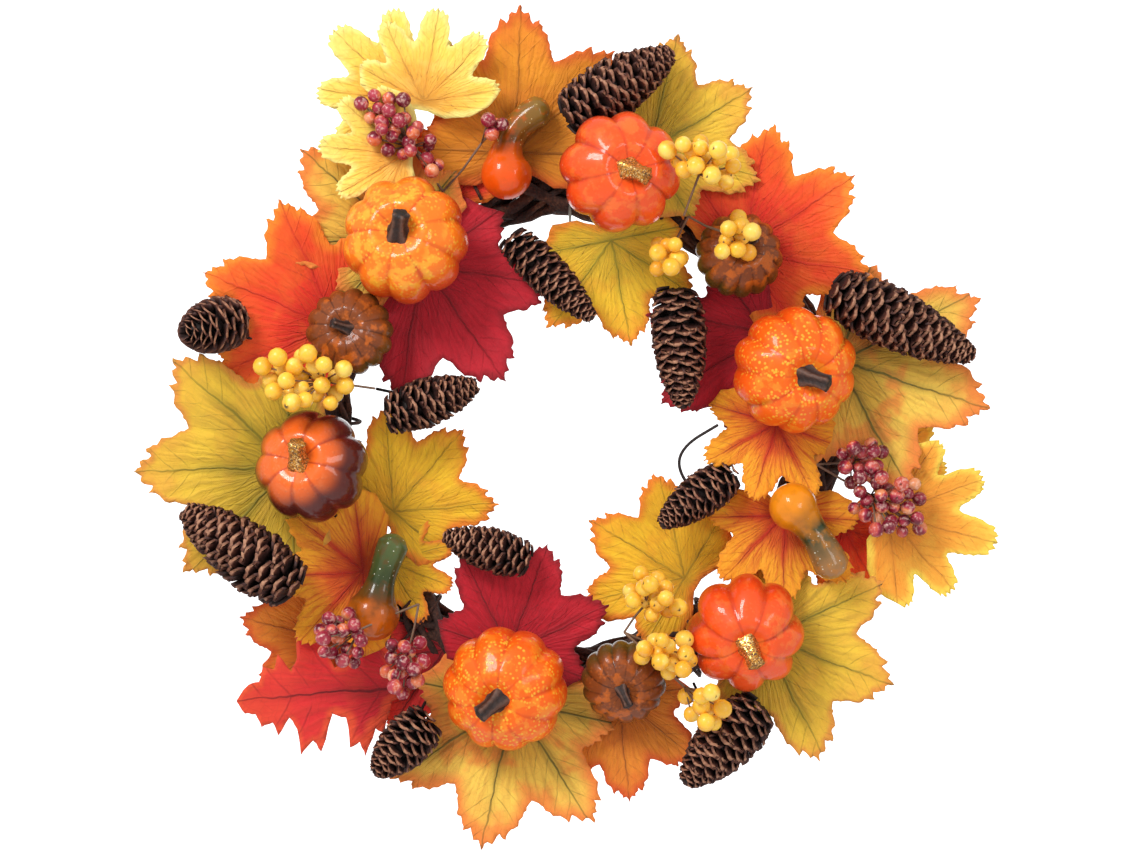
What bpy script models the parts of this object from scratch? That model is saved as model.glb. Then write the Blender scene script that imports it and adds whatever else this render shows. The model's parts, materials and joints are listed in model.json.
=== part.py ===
"""Harvest door wreath: a grapevine ring dressed with pumpkins, gourds, cones, berries and silk leaves.

The wreath hangs against a door. X runs to the right, Z up, and the door lies on the +Y side. The origin
is the point where a hook carries the hanging loop. Every piece is placed by its clock angle on the ring
and its offset from the ring's centre line, and is then slid towards the door until it rests on the
pieces already laid, so the stack stays free of overlaps when a size changes.
"""

import math
import random
from collections import namedtuple

import bmesh
import bpy
from mathutils import Matrix, Vector
from mathutils.bvhtree import BVHTree

# Driving sizes, in metres and degrees.
RING_RADIUS = 0.140
VINE_RADIUS = 0.020
FLAT_CUT = 0.003
BACK_Y = 0.003
DOOR_GAP = 0.0005
LOOP_HEIGHT = 0.045
LOOP_HALF_WIDTH = 0.011
LOOP_WIRE = 0.0010
TIE_WIRE = 0.0008
TIE_INSET = 0.0013
EYE_RADIUS = 0.0030
LEAF_THICKNESS = 0.0008
LAY_GAP = 0.0004
FIT_GAP = 0.0003
STALK_WIDTH = 0.0024
STEM_RADIUS = 0.0042
STEM_LENGTH = 0.017
CONE_WIRE = 0.0009
YELLOW_BERRY = 0.0050
BURGUNDY_BERRY = 0.0042
BERRY_WIRE = 0.0007

PUMPKIN_SQUATNESS = 0.82
SMALL_SQUATNESS = 0.72
PUMPKIN_RIB = 0.10
SMALL_RIB = 0.07
DIMPLE_DEPTH = 0.16
DIMPLE_REACH = 0.30
SMALL_STEM_RADIUS = 0.0026
LOOP_CORNER = 0.0030
RING_SIDES = 10
RING_STEPS = 40
TIE_STEPS = 30
EYE_STEPS = 12
CONE_TIERS = 5
CONE_STEPS = 10
SUNFLOWER_ANGLE = 137.508
SHARP_ANGLE = 50

# Worked out from them.
BACK_DEPTH = VINE_RADIUS - FLAT_CUT
TUBE_Y = BACK_Y - BACK_DEPTH
TIE_RADIUS = VINE_RADIUS + 3 * FIT_GAP + TIE_WIRE
EYE_RISE = math.sqrt(TIE_RADIUS**2 - TUBE_Y**2) + 0.9 * EYE_RADIUS
HANG_HEIGHT = RING_RADIUS + EYE_RISE + LOOP_HEIGHT

FRONT = Vector((0.0, -1.0, 0.0))
START_Y = -0.4
NUDGE = 0.0002
KNEE_RISE = 0.006
KNEE_SWAY = Vector((-0.006, 0.0, 0.002))

Leaf = namedtuple("Leaf", "name kind clock offset heading length pitch roll stalk tint")
Pumpkin = namedtuple("Pumpkin", "name clock offset width lobes lean heading tint")
Stem = namedtuple("Stem", "name pumpkin bend tint")
Gourd = namedtuple("Gourd", "name clock offset heading bulb neck length crook tint")
Cone = namedtuple("Cone", "name clock offset heading pitch length width wire")
Cluster = namedtuple("Cluster", "heading reach rise long wide count")
Spray = namedtuple("Spray", "name clock offset tilt berry clusters tint")

GOLD = (0.95, 0.62, 0.10)
ORANGE = (0.93, 0.38, 0.05)
CRIMSON = (0.60, 0.02, 0.04)
CONE_BROWN = (0.10, 0.045, 0.03)
BURGUNDY = (0.35, 0.03, 0.07)
YELLOW = (0.98, 0.65, 0.10)
OLIVE = (0.75, 0.58, 0.10)

# Leaves, back ones first.
LEAVES = (
    Leaf("leaf_gold_lower_right", "maple", 313, 22, 341, 76, 6, 0, 10, OLIVE),
    Leaf("leaf_oak_right", "oak", 345, 47, 347, 62, 8, 4, 36, ORANGE),
    Leaf("leaf_gold_right", "maple", 14, 17, 342, 88, 8, -4, 10, GOLD),
    Leaf("leaf_crimson_inner_right", "maple", 27, -17, 215, 72, -4, 0, 10, CRIMSON),
    Leaf("leaf_scarlet_upper_right", "maple", 46, 1, 34, 76, 10, 0, 10, ORANGE),
    Leaf("leaf_olive_top_right", "maple", 74, 23, 32, 68, 6, 6, 12, OLIVE),
    Leaf("leaf_amber_top", "maple", 101, 20, 88, 82, 8, 0, 10, ORANGE),
    Leaf("leaf_oak_upper_left", "oak", 116, 67, 138, 57, 6, 0, 58, GOLD),
    Leaf("leaf_gold_upper_left", "maple", 131, 5, 140, 74, 8, 4, 10, GOLD),
    Leaf("leaf_scarlet_left", "maple", 156, 5, 158, 79, 10, 0, 10, ORANGE),
    Leaf("leaf_olive_left", "maple", 187, 18, 182, 88, 8, -4, 10, OLIVE),
    Leaf("leaf_gold_inner_left", "maple", 205, -30, 50, 62, 2, 0, 16, GOLD),
    Leaf("leaf_red_oak_lower_left", "red_oak", 240, 26, 184, 105, 10, 0, 20, CRIMSON),
    Leaf("leaf_gold_bottom", "maple", 258, 17, 258, 84, 10, 0, 10, GOLD),
    Leaf("leaf_gold_inner_low", "maple", 308, -34, 149, 64, 2, 0, 18, GOLD),
    Leaf("leaf_crimson_low", "maple", 255, -10, 71, 66, 6, 0, 8, CRIMSON),
    Leaf("leaf_gold_inner_top", "maple", 78, -30, 281, 62, 6, 0, 16, GOLD),
    Leaf("leaf_crimson_inner_left", "maple", 132, -15, 306, 82, 6, 0, 8, CRIMSON),
    Leaf("leaf_curled_left", "crinkled", 214, 2, 184, 56, 14, 0, 8, ORANGE),
    Leaf("leaf_curled_lower_right", "crinkled", 338, -10, 269, 51, 10, 0, 8, ORANGE),
    Leaf("leaf_curled_right", "crinkled", 2, -25, 247, 47, 12, 0, 14, ORANGE),
)

PUMPKINS = (
    Pumpkin("pumpkin_upper_left", 131, -1, 71, 9, 9, 127, (0.95, 0.42, 0.07)),
    Pumpkin("pumpkin_top", 79, 4, 67, 8, 12, -10, (0.86, 0.20, 0.03)),
    Pumpkin("pumpkin_right", 15, -11, 70, 10, 17, 324, (0.92, 0.30, 0.04)),
    Pumpkin("pumpkin_lower_right", 311, 9, 66, 8, 16, 270, (0.86, 0.20, 0.03)),
    Pumpkin("pumpkin_bottom", 256, 8, 70, 10, 16, 226, (0.92, 0.30, 0.04)),
    Pumpkin("pumpkin_left", 188, 4, 63, 8, 17, 146, (0.80, 0.20, 0.04)),
)
SMALL_PUMPKINS = (
    Pumpkin("brown_pumpkin_left", 156, -6, 49, 11, 8, 120, (0.30, 0.13, 0.04)),
    Pumpkin("brown_pumpkin_right", 46, -4, 49, 11, 14, 56, (0.30, 0.13, 0.04)),
    Pumpkin("brown_pumpkin_bottom", 282, 4, 48, 11, 18, 262, (0.30, 0.13, 0.04)),
)
STEMS = (
    Stem("stem_upper_left", "pumpkin_upper_left", 70, (0.12, 0.07, 0.05)),
    Stem("stem_top", "pumpkin_top", 330, (0.55, 0.33, 0.12)),
    Stem("stem_right", "pumpkin_right", 340, (0.14, 0.08, 0.06)),
    Stem("stem_lower_right", "pumpkin_lower_right", 300, (0.55, 0.33, 0.12)),
    Stem("stem_bottom", "pumpkin_bottom", 215, (0.18, 0.10, 0.07)),
    Stem("stem_left", "pumpkin_left", 75, (0.55, 0.33, 0.12)),
)
GOURDS = (
    Gourd("gourd_top", 104, 8, 93, 14.5, 6.0, 42, -62, (0.90, 0.35, 0.05)),
    Gourd("gourd_lower_left", 223, 11, 77, 15.0, 7.5, 41, -8, (0.70, 0.30, 0.06)),
    Gourd("gourd_right", 341, -8, 310, 13.0, 8.3, 38, -16, (0.75, 0.35, 0.07)),
)
CONES = (
    Cone("cone_left", 164, 67, 200, 50, 36, 34, 62),
    Cone("cone_bottom_left", 242, 60, 225, 20, 38, 32, 48),
    Cone("cone_bottom_right", 296, 55, 224, 12, 56, 39, 34),
    Cone("cone_inner_low", 235, -59, 163, 4, 46, 29, 0),
    Cone("cone_inner_left", 168, -61, 19, 8, 50, 32, 34),
    Cone("cone_lower_left", 200, 54, 144, 4, 70, 42, 20),
    Cone("cone_top", 82, 53, 31, 6, 64, 39, 26),
    Cone("cone_inner_top", 97, -54, 315, 10, 63, 28, 22),
    Cone("cone_inner_right", 37, -63, 273, 8, 62, 36, 20),
    Cone("cone_right", 18, 54, 334, 4, 82, 40, 16),
)
# The hanging cone is set out from its wire's hooked end, at this clock angle and offset.
HANGING_CONE = Cone("cone_hanging", 2, -57, 215, 20, 50, 29, 0)
HANGING_DROP = Vector((-0.0114, 0.0, -0.0409))

# Each cluster is set out from the spray's root: heading, distance, how far it stands forward, its
# length along that heading, its width, and its number of berries.
SPRAYS = (
    Spray("berries_burgundy_top", 118, 12, 118, BURGUNDY_BERRY,
          (Cluster(121, 38, 14, 46, 32, 12),), BURGUNDY),
    Spray("berries_yellow_top", 62, -8, 70, YELLOW_BERRY,
          (Cluster(70, 30, 10, 24, 40, 9),), YELLOW),
    Spray("berries_yellow_inner", 61, -5, 297, YELLOW_BERRY,
          (Cluster(242, 25, 8, 20, 20, 4), Cluster(336, 28, 10, 22, 28, 5)), YELLOW),
    Spray("berries_yellow_left", 168, -30, 172, YELLOW_BERRY,
          (Cluster(172, 37, 10, 54, 36, 13),), YELLOW),
    Spray("berries_burgundy_lower_left", 229, -12, 228, BURGUNDY_BERRY,
          (Cluster(203, 45, 10, 30, 34, 8), Cluster(259, 34, 10, 34, 25, 8)), BURGUNDY),
    Spray("berries_burgundy_right", 352, 0, 350, BURGUNDY_BERRY,
          (Cluster(5, 25, 10, 26, 26, 6), Cluster(330, 46, 14, 42, 36, 11)), BURGUNDY),
    Spray("berries_yellow_bottom", 285, -24, 352, YELLOW_BERRY,
          (Cluster(53, 26, 8, 24, 32, 6), Cluster(337, 25, 8, 32, 25, 6),
           Cluster(319, 60, 10, 23, 23, 4)), YELLOW),
)

LOBES = {
    "maple": ((88, 0.62), (44, 0.98), (0, 1.0)),
    "crinkled": ((92, 0.85), (46, 1.0), (0, 1.0)),
    "oak": ((62, 0.78), (31, 0.93), (0, 1.0)),
}
NOTCH = {"maple": 0.60, "crinkled": 0.52, "oak": 0.60}
RED_OAK_SIDE = ((0.10, 0.09), (0.36, 0.40), (0.42, 0.12), (0.66, 0.30), (0.68, 0.10), (0.88, 0.16))


def clear_scene():
    """Remove whatever the new file holds."""
    for item in list(bpy.data.objects):
        bpy.data.objects.remove(item, do_unlink=True)


def make_material(name, color, roughness=0.5, metallic=0.0):
    """A Principled surface in one colour."""
    material = bpy.data.materials.new(name + "_finish")
    material.use_nodes = True
    shader = material.node_tree.nodes["Principled BSDF"]
    shader.inputs["Base Color"].default_value = (*color, 1.0)
    shader.inputs["Roughness"].default_value = roughness
    shader.inputs["Metallic"].default_value = metallic
    return material


def direction(heading):
    """Unit vector in the wreath's plane at a heading in degrees, counted from +X towards +Z."""
    angle = math.radians(heading)
    return Vector((math.cos(angle), 0.0, math.sin(angle)))


def spot(clock, offset_mm, depth=0.0):
    """Point at a clock angle and an offset from the ring's centre line, depth in front of the ring."""
    radial = direction(clock) * (RING_RADIUS + offset_mm / 1000)
    return radial + Vector((0.0, depth, -HANG_HEIGHT))


def facing(heading, pitch=0.0, roll=0.0):
    """Turn that carries +Y to the heading and +Z to the viewer, then pitches the far end forward."""
    along = direction(heading)
    across = along.cross(FRONT)
    basis = Matrix((across, along, FRONT)).transposed().to_4x4()
    turn = Matrix.Rotation(math.radians(pitch), 4, "X") @ Matrix.Rotation(math.radians(roll), 4, "Y")
    return basis @ turn


class Stack:
    """The pieces laid so far, as one triangle soup that the next piece can be rested on."""

    def __init__(self):
        self.points = []
        self.faces = []

    def add(self, obj):
        """Take in a finished object's surface."""
        points, faces = surface(obj)
        start = len(self.points)
        self.points.extend(points)
        self.faces.extend([[start + index for index in face] for face in faces])

    def lay(self, obj, toward=-FRONT, gap=LAY_GAP, limit=None):
        """Slide obj from well in front along toward until it rests, gap clear, on the stack."""
        obj.location -= toward * (toward.dot(obj.location) - START_Y)
        bpy.context.view_layer.update()
        points, faces = surface(obj)
        mine = BVHTree.FromPolygons(points, faces)
        stack = BVHTree.FromPolygons(self.points, self.faces)
        slide = min(
            nearest(samples(points, faces), toward, stack),
            nearest(samples(self.points, self.faces), -toward, mine),
        )
        if limit is not None:
            slide = min(slide, limit - max(point.y for point in points))
        slide -= gap
        while overlaps(points, faces, toward * slide, stack):
            slide -= NUDGE
        obj.location += toward * (slide - NUDGE)
        bpy.context.view_layer.update()
        self.add(obj)


def surface(obj):
    """World points and faces of an object with its modifiers in place."""
    graph = bpy.context.evaluated_depsgraph_get()
    evaluated = obj.evaluated_get(graph)
    mesh = evaluated.to_mesh()
    mesh.calc_loop_triangles()
    points = [evaluated.matrix_world @ vertex.co for vertex in mesh.vertices]
    faces = [list(triangle.vertices) for triangle in mesh.loop_triangles]
    evaluated.to_mesh_clear()
    return points, faces


def samples(points, faces):
    """Corners, edge middles and centres of a set of triangles."""
    found = list(points)
    for face in faces:
        corners = [points[index] for index in face]
        found.append((corners[0] + corners[1] + corners[2]) / 3)
        found.extend((corners[index - 1] + corners[index]) / 2 for index in range(3))
    return found


def nearest(points, toward, tree):
    """Shortest way from any of the points along toward to the tree's surface."""
    best = 10.0
    for point in points:
        distance = tree.ray_cast(point, toward)[3]
        if distance is not None:
            best = min(best, distance)
    return best


def overlaps(points, faces, shift, tree):
    """Whether the shifted triangles cut the tree's."""
    moved = BVHTree.FromPolygons([point + shift for point in points], faces)
    return bool(moved.overlap(tree))


def finish(obj, collection, material, parent=None, smooth=True):
    """Put an object in its collection, with its finish, its shading and its parent."""
    collection.objects.link(obj)
    obj.data.materials.clear()
    obj.data.materials.append(material)
    if smooth and obj.type == "MESH":
        obj.data.shade_smooth()
        obj.data.set_sharp_from_angle(angle=math.radians(SHARP_ANGLE))
    if parent is not None:
        obj.parent = parent
    bpy.context.view_layer.update()
    return obj


def mesh_object(name, shape):
    """Object made from a bmesh, which is used up."""
    mesh = bpy.data.meshes.new(name)
    shape.to_mesh(mesh)
    shape.free()
    return bpy.data.objects.new(name, mesh)


def wire_curve(name, points, radius, cyclic=False, radii=None, sides=2):
    """Round wire along straight runs between points, with closed ends."""
    data = bpy.data.curves.new(name, "CURVE")
    data.dimensions = "3D"
    data.bevel_depth = radius
    data.bevel_resolution = sides
    data.use_fill_caps = not cyclic
    spline = data.splines.new("POLY")
    spline.points.add(len(points) - 1)
    for index, point in enumerate(points):
        spline.points[index].co = (*point, 1.0)
        spline.points[index].radius = radii[index] if radii else 1.0
    spline.use_cyclic_u = cyclic
    return bpy.data.objects.new(name, data)


def as_mesh(obj, name):
    """Replace a curve object by a welded mesh object of the same shape."""
    bpy.context.scene.collection.objects.link(obj)
    bpy.context.view_layer.update()
    graph = bpy.context.evaluated_depsgraph_get()
    mesh = bpy.data.meshes.new_from_object(obj.evaluated_get(graph))
    shape = bmesh.new()
    shape.from_mesh(mesh)
    bmesh.ops.remove_doubles(shape, verts=shape.verts, dist=1e-6)
    bmesh.ops.recalc_face_normals(shape, faces=shape.faces)
    shape.to_mesh(mesh)
    shape.free()
    bpy.data.objects.remove(obj, do_unlink=True)
    return bpy.data.objects.new(name, mesh)


def united(name, body, other):
    """One closed mesh from body, whose own shells may cross, and another object; both are used up."""
    for item in (body, other):
        bpy.context.scene.collection.objects.link(item)
    modifier = body.modifiers.new("join", "BOOLEAN")
    modifier.operation = "UNION"
    modifier.solver = "EXACT"
    modifier.use_self = True
    modifier.object = other
    bpy.context.view_layer.update()
    graph = bpy.context.evaluated_depsgraph_get()
    mesh = bpy.data.meshes.new_from_object(body.evaluated_get(graph))
    bpy.data.objects.remove(body, do_unlink=True)
    bpy.data.objects.remove(other, do_unlink=True)
    keep_outer_shell(mesh)
    return bpy.data.objects.new(name, mesh)


def keep_outer_shell(mesh):
    """Fill the sealed pockets between joined shapes by dropping every shell but the outer one."""
    shape = bmesh.new()
    shape.from_mesh(mesh)
    waiting = set(shape.faces)
    shells = []
    while waiting:
        shell = set()
        border = [waiting.pop()]
        while border:
            face = border.pop()
            shell.add(face)
            for edge in face.edges:
                for other in edge.link_faces:
                    if other in waiting:
                        waiting.remove(other)
                        border.append(other)
        shells.append(shell)
    shells.sort(key=lambda shell: sum(face.calc_area() for face in shell))
    for shell in shells[:-1]:
        bmesh.ops.delete(shape, geom=list(shell), context="FACES")
    shape.to_mesh(mesh)
    shape.free()


def add_rod(shape, start, end, radius, sides=5):
    """A straight closed rod between two points of a bmesh."""
    along = end - start
    turn = along.to_track_quat("Z", "Y").to_matrix().to_4x4()
    place = Matrix.Translation((start + end) / 2) @ turn
    bmesh.ops.create_cone(
        shape, cap_ends=True, segments=sides, radius1=radius, radius2=radius,
        depth=along.length, matrix=place,
    )


def make_ring(collection, frame):
    """Grapevine ring with a flat back, notched where the tie's wire crosses it."""
    shape = bmesh.new()
    corners = []
    first = math.acos(BACK_DEPTH / VINE_RADIUS)
    for index in range(RING_SIDES):
        angle = math.pi + first + (2 * math.pi - 2 * first) * index / (RING_SIDES - 1)
        across = RING_RADIUS - VINE_RADIUS * math.sin(angle)
        height = VINE_RADIUS * math.cos(angle)
        corners.append(shape.verts.new((across, 0.0, height)))
    for index, corner in enumerate(corners):
        shape.edges.new((corners[index - 1], corner))
    ring = mesh_object("vine_ring", shape)
    screw = ring.modifiers.new("turn", "SCREW")
    screw.axis = "Z"
    screw.steps = RING_STEPS
    screw.render_steps = RING_STEPS
    screw.use_merge_vertices = True
    screw.merge_threshold = 1e-5
    ring.rotation_euler = (math.pi / 2, 0.0, 0.0)
    ring.location = (0.0, TUBE_Y, 0.0)
    return finish(ring, collection, make_material("vine", (0.05, 0.025, 0.018), 0.85), frame)


def notch_ring(ring, cutters, frame):
    """Cut the shallow groove that lets the tie's back strand lie flush."""
    depth = 2 * TIE_WIRE + TIE_INSET + FIT_GAP
    width = 2 * TIE_WIRE + 4 * FIT_GAP
    shape = bmesh.new()
    bmesh.ops.create_cube(shape, size=1.0)
    bmesh.ops.scale(shape, vec=(width, 2 * depth, 2 * VINE_RADIUS), verts=shape.verts)
    cutter = mesh_object("notch_cutter", shape)
    cutter.location = (0.0, BACK_Y, RING_RADIUS)
    cutter.hide_render = True
    cutter.display_type = "WIRE"
    cutters.objects.link(cutter)
    cutter.parent = frame
    cut = ring.modifiers.new("notch", "BOOLEAN")
    cut.operation = "DIFFERENCE"
    cut.solver = "EXACT"
    cut.object = cutter


def make_tie(collection, frame):
    """Wire bound round the vines at the top, with a small eye for the hanging loop."""
    points = []
    back = BACK_Y - TIE_INSET - TIE_WIRE
    start = math.acos((back - TUBE_Y) / TIE_RADIUS)
    for index in range(TIE_STEPS):
        angle = start + (2 * math.pi - 2 * start) * index / (TIE_STEPS - 1)
        points.append(Vector((
            0.0,
            TUBE_Y + TIE_RADIUS * math.cos(angle),
            RING_RADIUS + TIE_RADIUS * math.sin(angle),
        )))
    band = as_mesh(wire_curve("band", points, TIE_WIRE, cyclic=True, sides=1), "band")
    circle = []
    for index in range(EYE_STEPS):
        angle = 2 * math.pi * index / EYE_STEPS
        circle.append(Vector((
            0.0, EYE_RADIUS * math.cos(angle), RING_RADIUS + EYE_RISE + EYE_RADIUS * math.sin(angle),
        )))
    eye = as_mesh(wire_curve("eye", circle, 1.1 * TIE_WIRE, cyclic=True, sides=2), "eye")
    tie = united("hanger_tie", band, eye)
    return finish(tie, collection, make_material("tie", (0.25, 0.24, 0.22), 0.4, 0.9), frame)


def make_pivot(name, place, collection, frame):
    """Empty on a joint's axis that carries one moving piece."""
    pivot = bpy.data.objects.new("pivot_" + name, None)
    pivot.empty_display_size = 0.01
    collection.objects.link(pivot)
    pivot.parent = frame
    pivot.location = place
    bpy.context.view_layer.update()
    return pivot


def make_loop(collection, frame):
    """Wire loop that hangs on the hook and swings in the tie's eye."""
    pivot = make_pivot("hanging_loop", (0.0, 0.0, RING_RADIUS + EYE_RISE), collection, frame)
    points = []
    for side in (-1, 1):
        for index in range(3):
            angle = math.radians(45 * index if side < 0 else 90 - 45 * index)
            points.append(Vector((
                side * (LOOP_HALF_WIDTH - LOOP_CORNER + LOOP_CORNER * math.cos(angle)),
                0.0,
                LOOP_CORNER - LOOP_CORNER * math.sin(angle),
            )))
    top = LOOP_HEIGHT + LOOP_WIRE - LOOP_HALF_WIDTH
    for index in range(11):
        angle = math.radians(18 * index)
        points.append(Vector((LOOP_HALF_WIDTH * math.cos(angle), 0.0,
                              top + LOOP_HALF_WIDTH * math.sin(angle))))
    loop = wire_curve("hanging_loop", points, LOOP_WIRE, cyclic=True, sides=2)
    return finish(loop, collection, make_material("loop", (0.30, 0.29, 0.27), 0.35, 0.9), pivot)


def palmate(kind):
    """Unit outline of a leaf whose lobes spread from its base, with a tooth on each shoulder."""
    lobes = LOBES[kind]
    half = [(0.06, 0.0)]
    previous = None
    for angle, reach in lobes:
        if previous is not None:
            middle = (previous[0] + angle) / 2
            depth = NOTCH[kind] * (previous[1] + reach) / 2
            half.append(polar(middle, depth))
        if angle:
            half.append(polar(angle + 12, reach * 0.76))
        half.append(polar(angle, reach))
        if angle or kind == "crinkled":
            half.append(polar(angle - 11, reach * 0.78))
        previous = (angle, reach)
    half = [point for point in half if point[0] > 1e-6 or point[1] > 0.99]
    if kind != "crinkled":
        half.insert(-1, polar(12, 0.78))
    return half


def polar(angle, reach):
    """Point across and along a leaf, the angle counted from its midrib."""
    return (reach * math.sin(math.radians(angle)), reach * math.cos(math.radians(angle)))


def pinnate():
    """Unit outline of a long leaf with pointed side lobes."""
    half = [(0.05, 0.0)]
    half.extend((across, along) for along, across in RED_OAK_SIDE)
    half.append((0.0, 1.0))
    return half


def leaf_outline(leaf):
    """Closed outline of a leaf and its stalk, across and along from its base."""
    half = pinnate() if leaf.kind == "red_oak" else palmate(leaf.kind)
    size = leaf.length / 1000
    right = [(across * size, along * size) for across, along in half]
    left = [(-across, along) for across, along in reversed(right) if across > 1e-6]
    half_stalk = STALK_WIDTH / 2
    stalk = -leaf.stalk / 1000
    return [(half_stalk, stalk)] + right + left + [(-half_stalk, stalk)]


def make_leaf(leaf, collection, frame, stack):
    """Flat die-cut leaf, laid on the stack."""
    data = bpy.data.curves.new(leaf.name, "CURVE")
    data.dimensions = "2D"
    data.fill_mode = "BOTH"
    data.extrude = LEAF_THICKNESS / 2
    outline = leaf_outline(leaf)
    spline = data.splines.new("POLY")
    spline.points.add(len(outline) - 1)
    for index, (across, along) in enumerate(outline):
        spline.points[index].co = (across, along, 0.0, 1.0)
    spline.use_cyclic_u = True
    obj = bpy.data.objects.new(leaf.name, data)
    place = spot(leaf.clock, leaf.offset) - frame.location
    obj.matrix_local = Matrix.Translation(place) @ facing(leaf.heading, leaf.pitch, leaf.roll)
    finish(obj, collection, make_material(leaf.name, leaf.tint, 0.6), frame)
    stack.lay(obj, limit=BACK_Y - DOOR_GAP)


def pumpkin_axis(pumpkin):
    """Turn that carries +Z to the pumpkin's axis, which leans from the viewer towards a heading."""
    return facing(pumpkin.heading) @ Matrix.Rotation(math.radians(-pumpkin.lean), 4, "X")


def make_pumpkin(pumpkin, collection, frame, stack, small=False):
    """Ribbed pumpkin, squat along its axis and dimpled at both ends."""
    radius = pumpkin.width / 2000
    half_height = radius * (SMALL_SQUATNESS if small else PUMPKIN_SQUATNESS)
    shape = bmesh.new()
    rows = 7 if small else 8
    bmesh.ops.create_uvsphere(shape, u_segments=2 * pumpkin.lobes, v_segments=rows, radius=1.0)
    rib_depth = SMALL_RIB if small else PUMPKIN_RIB
    for vertex in shape.verts:
        around = math.atan2(vertex.co.y, vertex.co.x)
        reach = math.hypot(vertex.co.x, vertex.co.y)
        groove = (1 - math.cos(around * pumpkin.lobes)) / 2
        width = radius * (1 - rib_depth * groove) * reach**0.85
        dimple = DIMPLE_DEPTH * math.exp(-(reach / DIMPLE_REACH) ** 2)
        height = half_height * (vertex.co.z - math.copysign(dimple, vertex.co.z))
        vertex.co = (width * math.cos(around), width * math.sin(around), height)
    obj = mesh_object(pumpkin.name, shape)
    if small:
        obj = with_fused_stem(obj, pumpkin, half_height)
    place = spot(pumpkin.clock, pumpkin.offset) - frame.location
    obj.matrix_local = Matrix.Translation(place) @ pumpkin_axis(pumpkin)
    finish(obj, collection, make_material(pumpkin.name, pumpkin.tint, 0.2), frame)
    stack.lay(obj, limit=BACK_Y - DOOR_GAP)
    return obj


def with_fused_stem(body, pumpkin, half_height):
    """A small pumpkin's stem, moulded in one with it."""
    low = half_height * 0.5
    points = [(0, 0, low), (0, 0, half_height * 0.95), (0.001, 0.003, half_height + 0.004),
              (0.002, 0.008, half_height + 0.006)]
    radii = [1.2, 1.1, 0.9, 1.1]
    stem = as_mesh(wire_curve("stem", points, SMALL_STEM_RADIUS, radii=radii, sides=1), "stem")
    return united(pumpkin.name, body, stem)


def make_stem(stem, pumpkins, collection, frame):
    """Bent stem, seated on its pumpkin's dimple."""
    pumpkin, body = pumpkins[stem.pumpkin]
    turn = pumpkin_axis(pumpkin)
    axis = turn.to_3x3() @ Vector((0.0, 0.0, 1.0))
    aside = direction(stem.bend)
    aside = (aside - axis * aside.dot(axis)).normalized()
    points = []
    for share, side in ((0.0, 0.0), (0.25, 0.0), (0.55, 0.18), (0.80, 0.45), (1.0, 0.72)):
        points.append((axis * share * 0.8 + aside * side) * STEM_LENGTH)
    obj = wire_curve(stem.name, points, STEM_RADIUS, radii=[1.25, 0.95, 0.72, 0.70, 0.86], sides=2)
    obj.location = body.location
    finish(obj, collection, make_material(stem.name, stem.tint, 0.7), frame)
    seat = Stack()
    seat.add(body)
    seat.lay(obj, toward=-axis, gap=FIT_GAP)
    return obj


def make_gourd(gourd, collection, frame, stack):
    """Gourd with a round bulb and a neck that bends to one side."""
    bulb, neck, length = gourd.bulb / 1000, gourd.neck / 1000, gourd.length / 1000
    points = []
    radii = []
    for share, reach in ((-0.95, 0.28), (-0.75, 0.68), (-0.35, 0.95), (0.05, 1.0), (0.45, 0.88)):
        points.append(direction(gourd.heading) * share * bulb)
        radii.append(reach)
    here = points[-1].copy()
    start = 0.45 * bulb
    steps = 6
    stride = (length - start) / steps
    for index in range(1, steps + 1):
        share = index / steps
        here = here + direction(gourd.heading + gourd.crook * share) * stride
        points.append(here.copy())
        slim = neck / bulb
        radii.append(slim + (0.88 - slim) * (1 - share) ** 3)
    points.append(here + direction(gourd.heading + gourd.crook) * neck * 0.5)
    radii.append(neck / bulb * 0.6)
    obj = wire_curve(gourd.name, points, bulb, radii=radii, sides=3)
    obj.location = spot(gourd.clock, gourd.offset) - frame.location
    finish(obj, collection, make_material(gourd.name, gourd.tint, 0.12), frame)
    stack.lay(obj, limit=BACK_Y - DOOR_GAP)


def cone_profile(cone):
    """Half profile of a cone from tip to base, in steps like its rows of scales."""
    length, radius = cone.length / 1000, cone.width / 2000
    profile = [(0.0, length)]
    for tier in range(CONE_TIERS):
        share = (tier + 0.5) / CONE_TIERS
        reach = radius * math.sin(math.pi * (0.13 + 0.62 * share)) ** 0.8
        profile.append((reach * 0.72, length * (1 - share + 0.05)))
        profile.append((reach, length * (1 - share - 0.06)))
    profile.append((radius * 0.45, 0.0))
    profile.append((0.0, 0.0))
    return profile


def cone_body(cone, name):
    """Turned cone with its middle at the origin and its tip at +Y, before it is placed."""
    shape = bmesh.new()
    corners = [shape.verts.new((across, 0.0, along)) for across, along in cone_profile(cone)]
    for first, second in zip(corners, corners[1:]):
        shape.edges.new((first, second))
    bmesh.ops.spin(
        shape, geom=shape.verts[:] + shape.edges[:], cent=(0, 0, 0), axis=(0, 0, 1),
        angle=2 * math.pi, steps=CONE_STEPS, use_merge=True, use_duplicate=False,
    )
    bmesh.ops.remove_doubles(shape, verts=shape.verts, dist=1e-6)
    bmesh.ops.recalc_face_normals(shape, faces=shape.faces)
    bmesh.ops.translate(shape, vec=(0, 0, -cone.length / 2000), verts=shape.verts)
    bmesh.ops.rotate(shape, matrix=Matrix.Rotation(-math.pi / 2, 3, "X"), verts=shape.verts)
    return mesh_object(name, shape)


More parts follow.
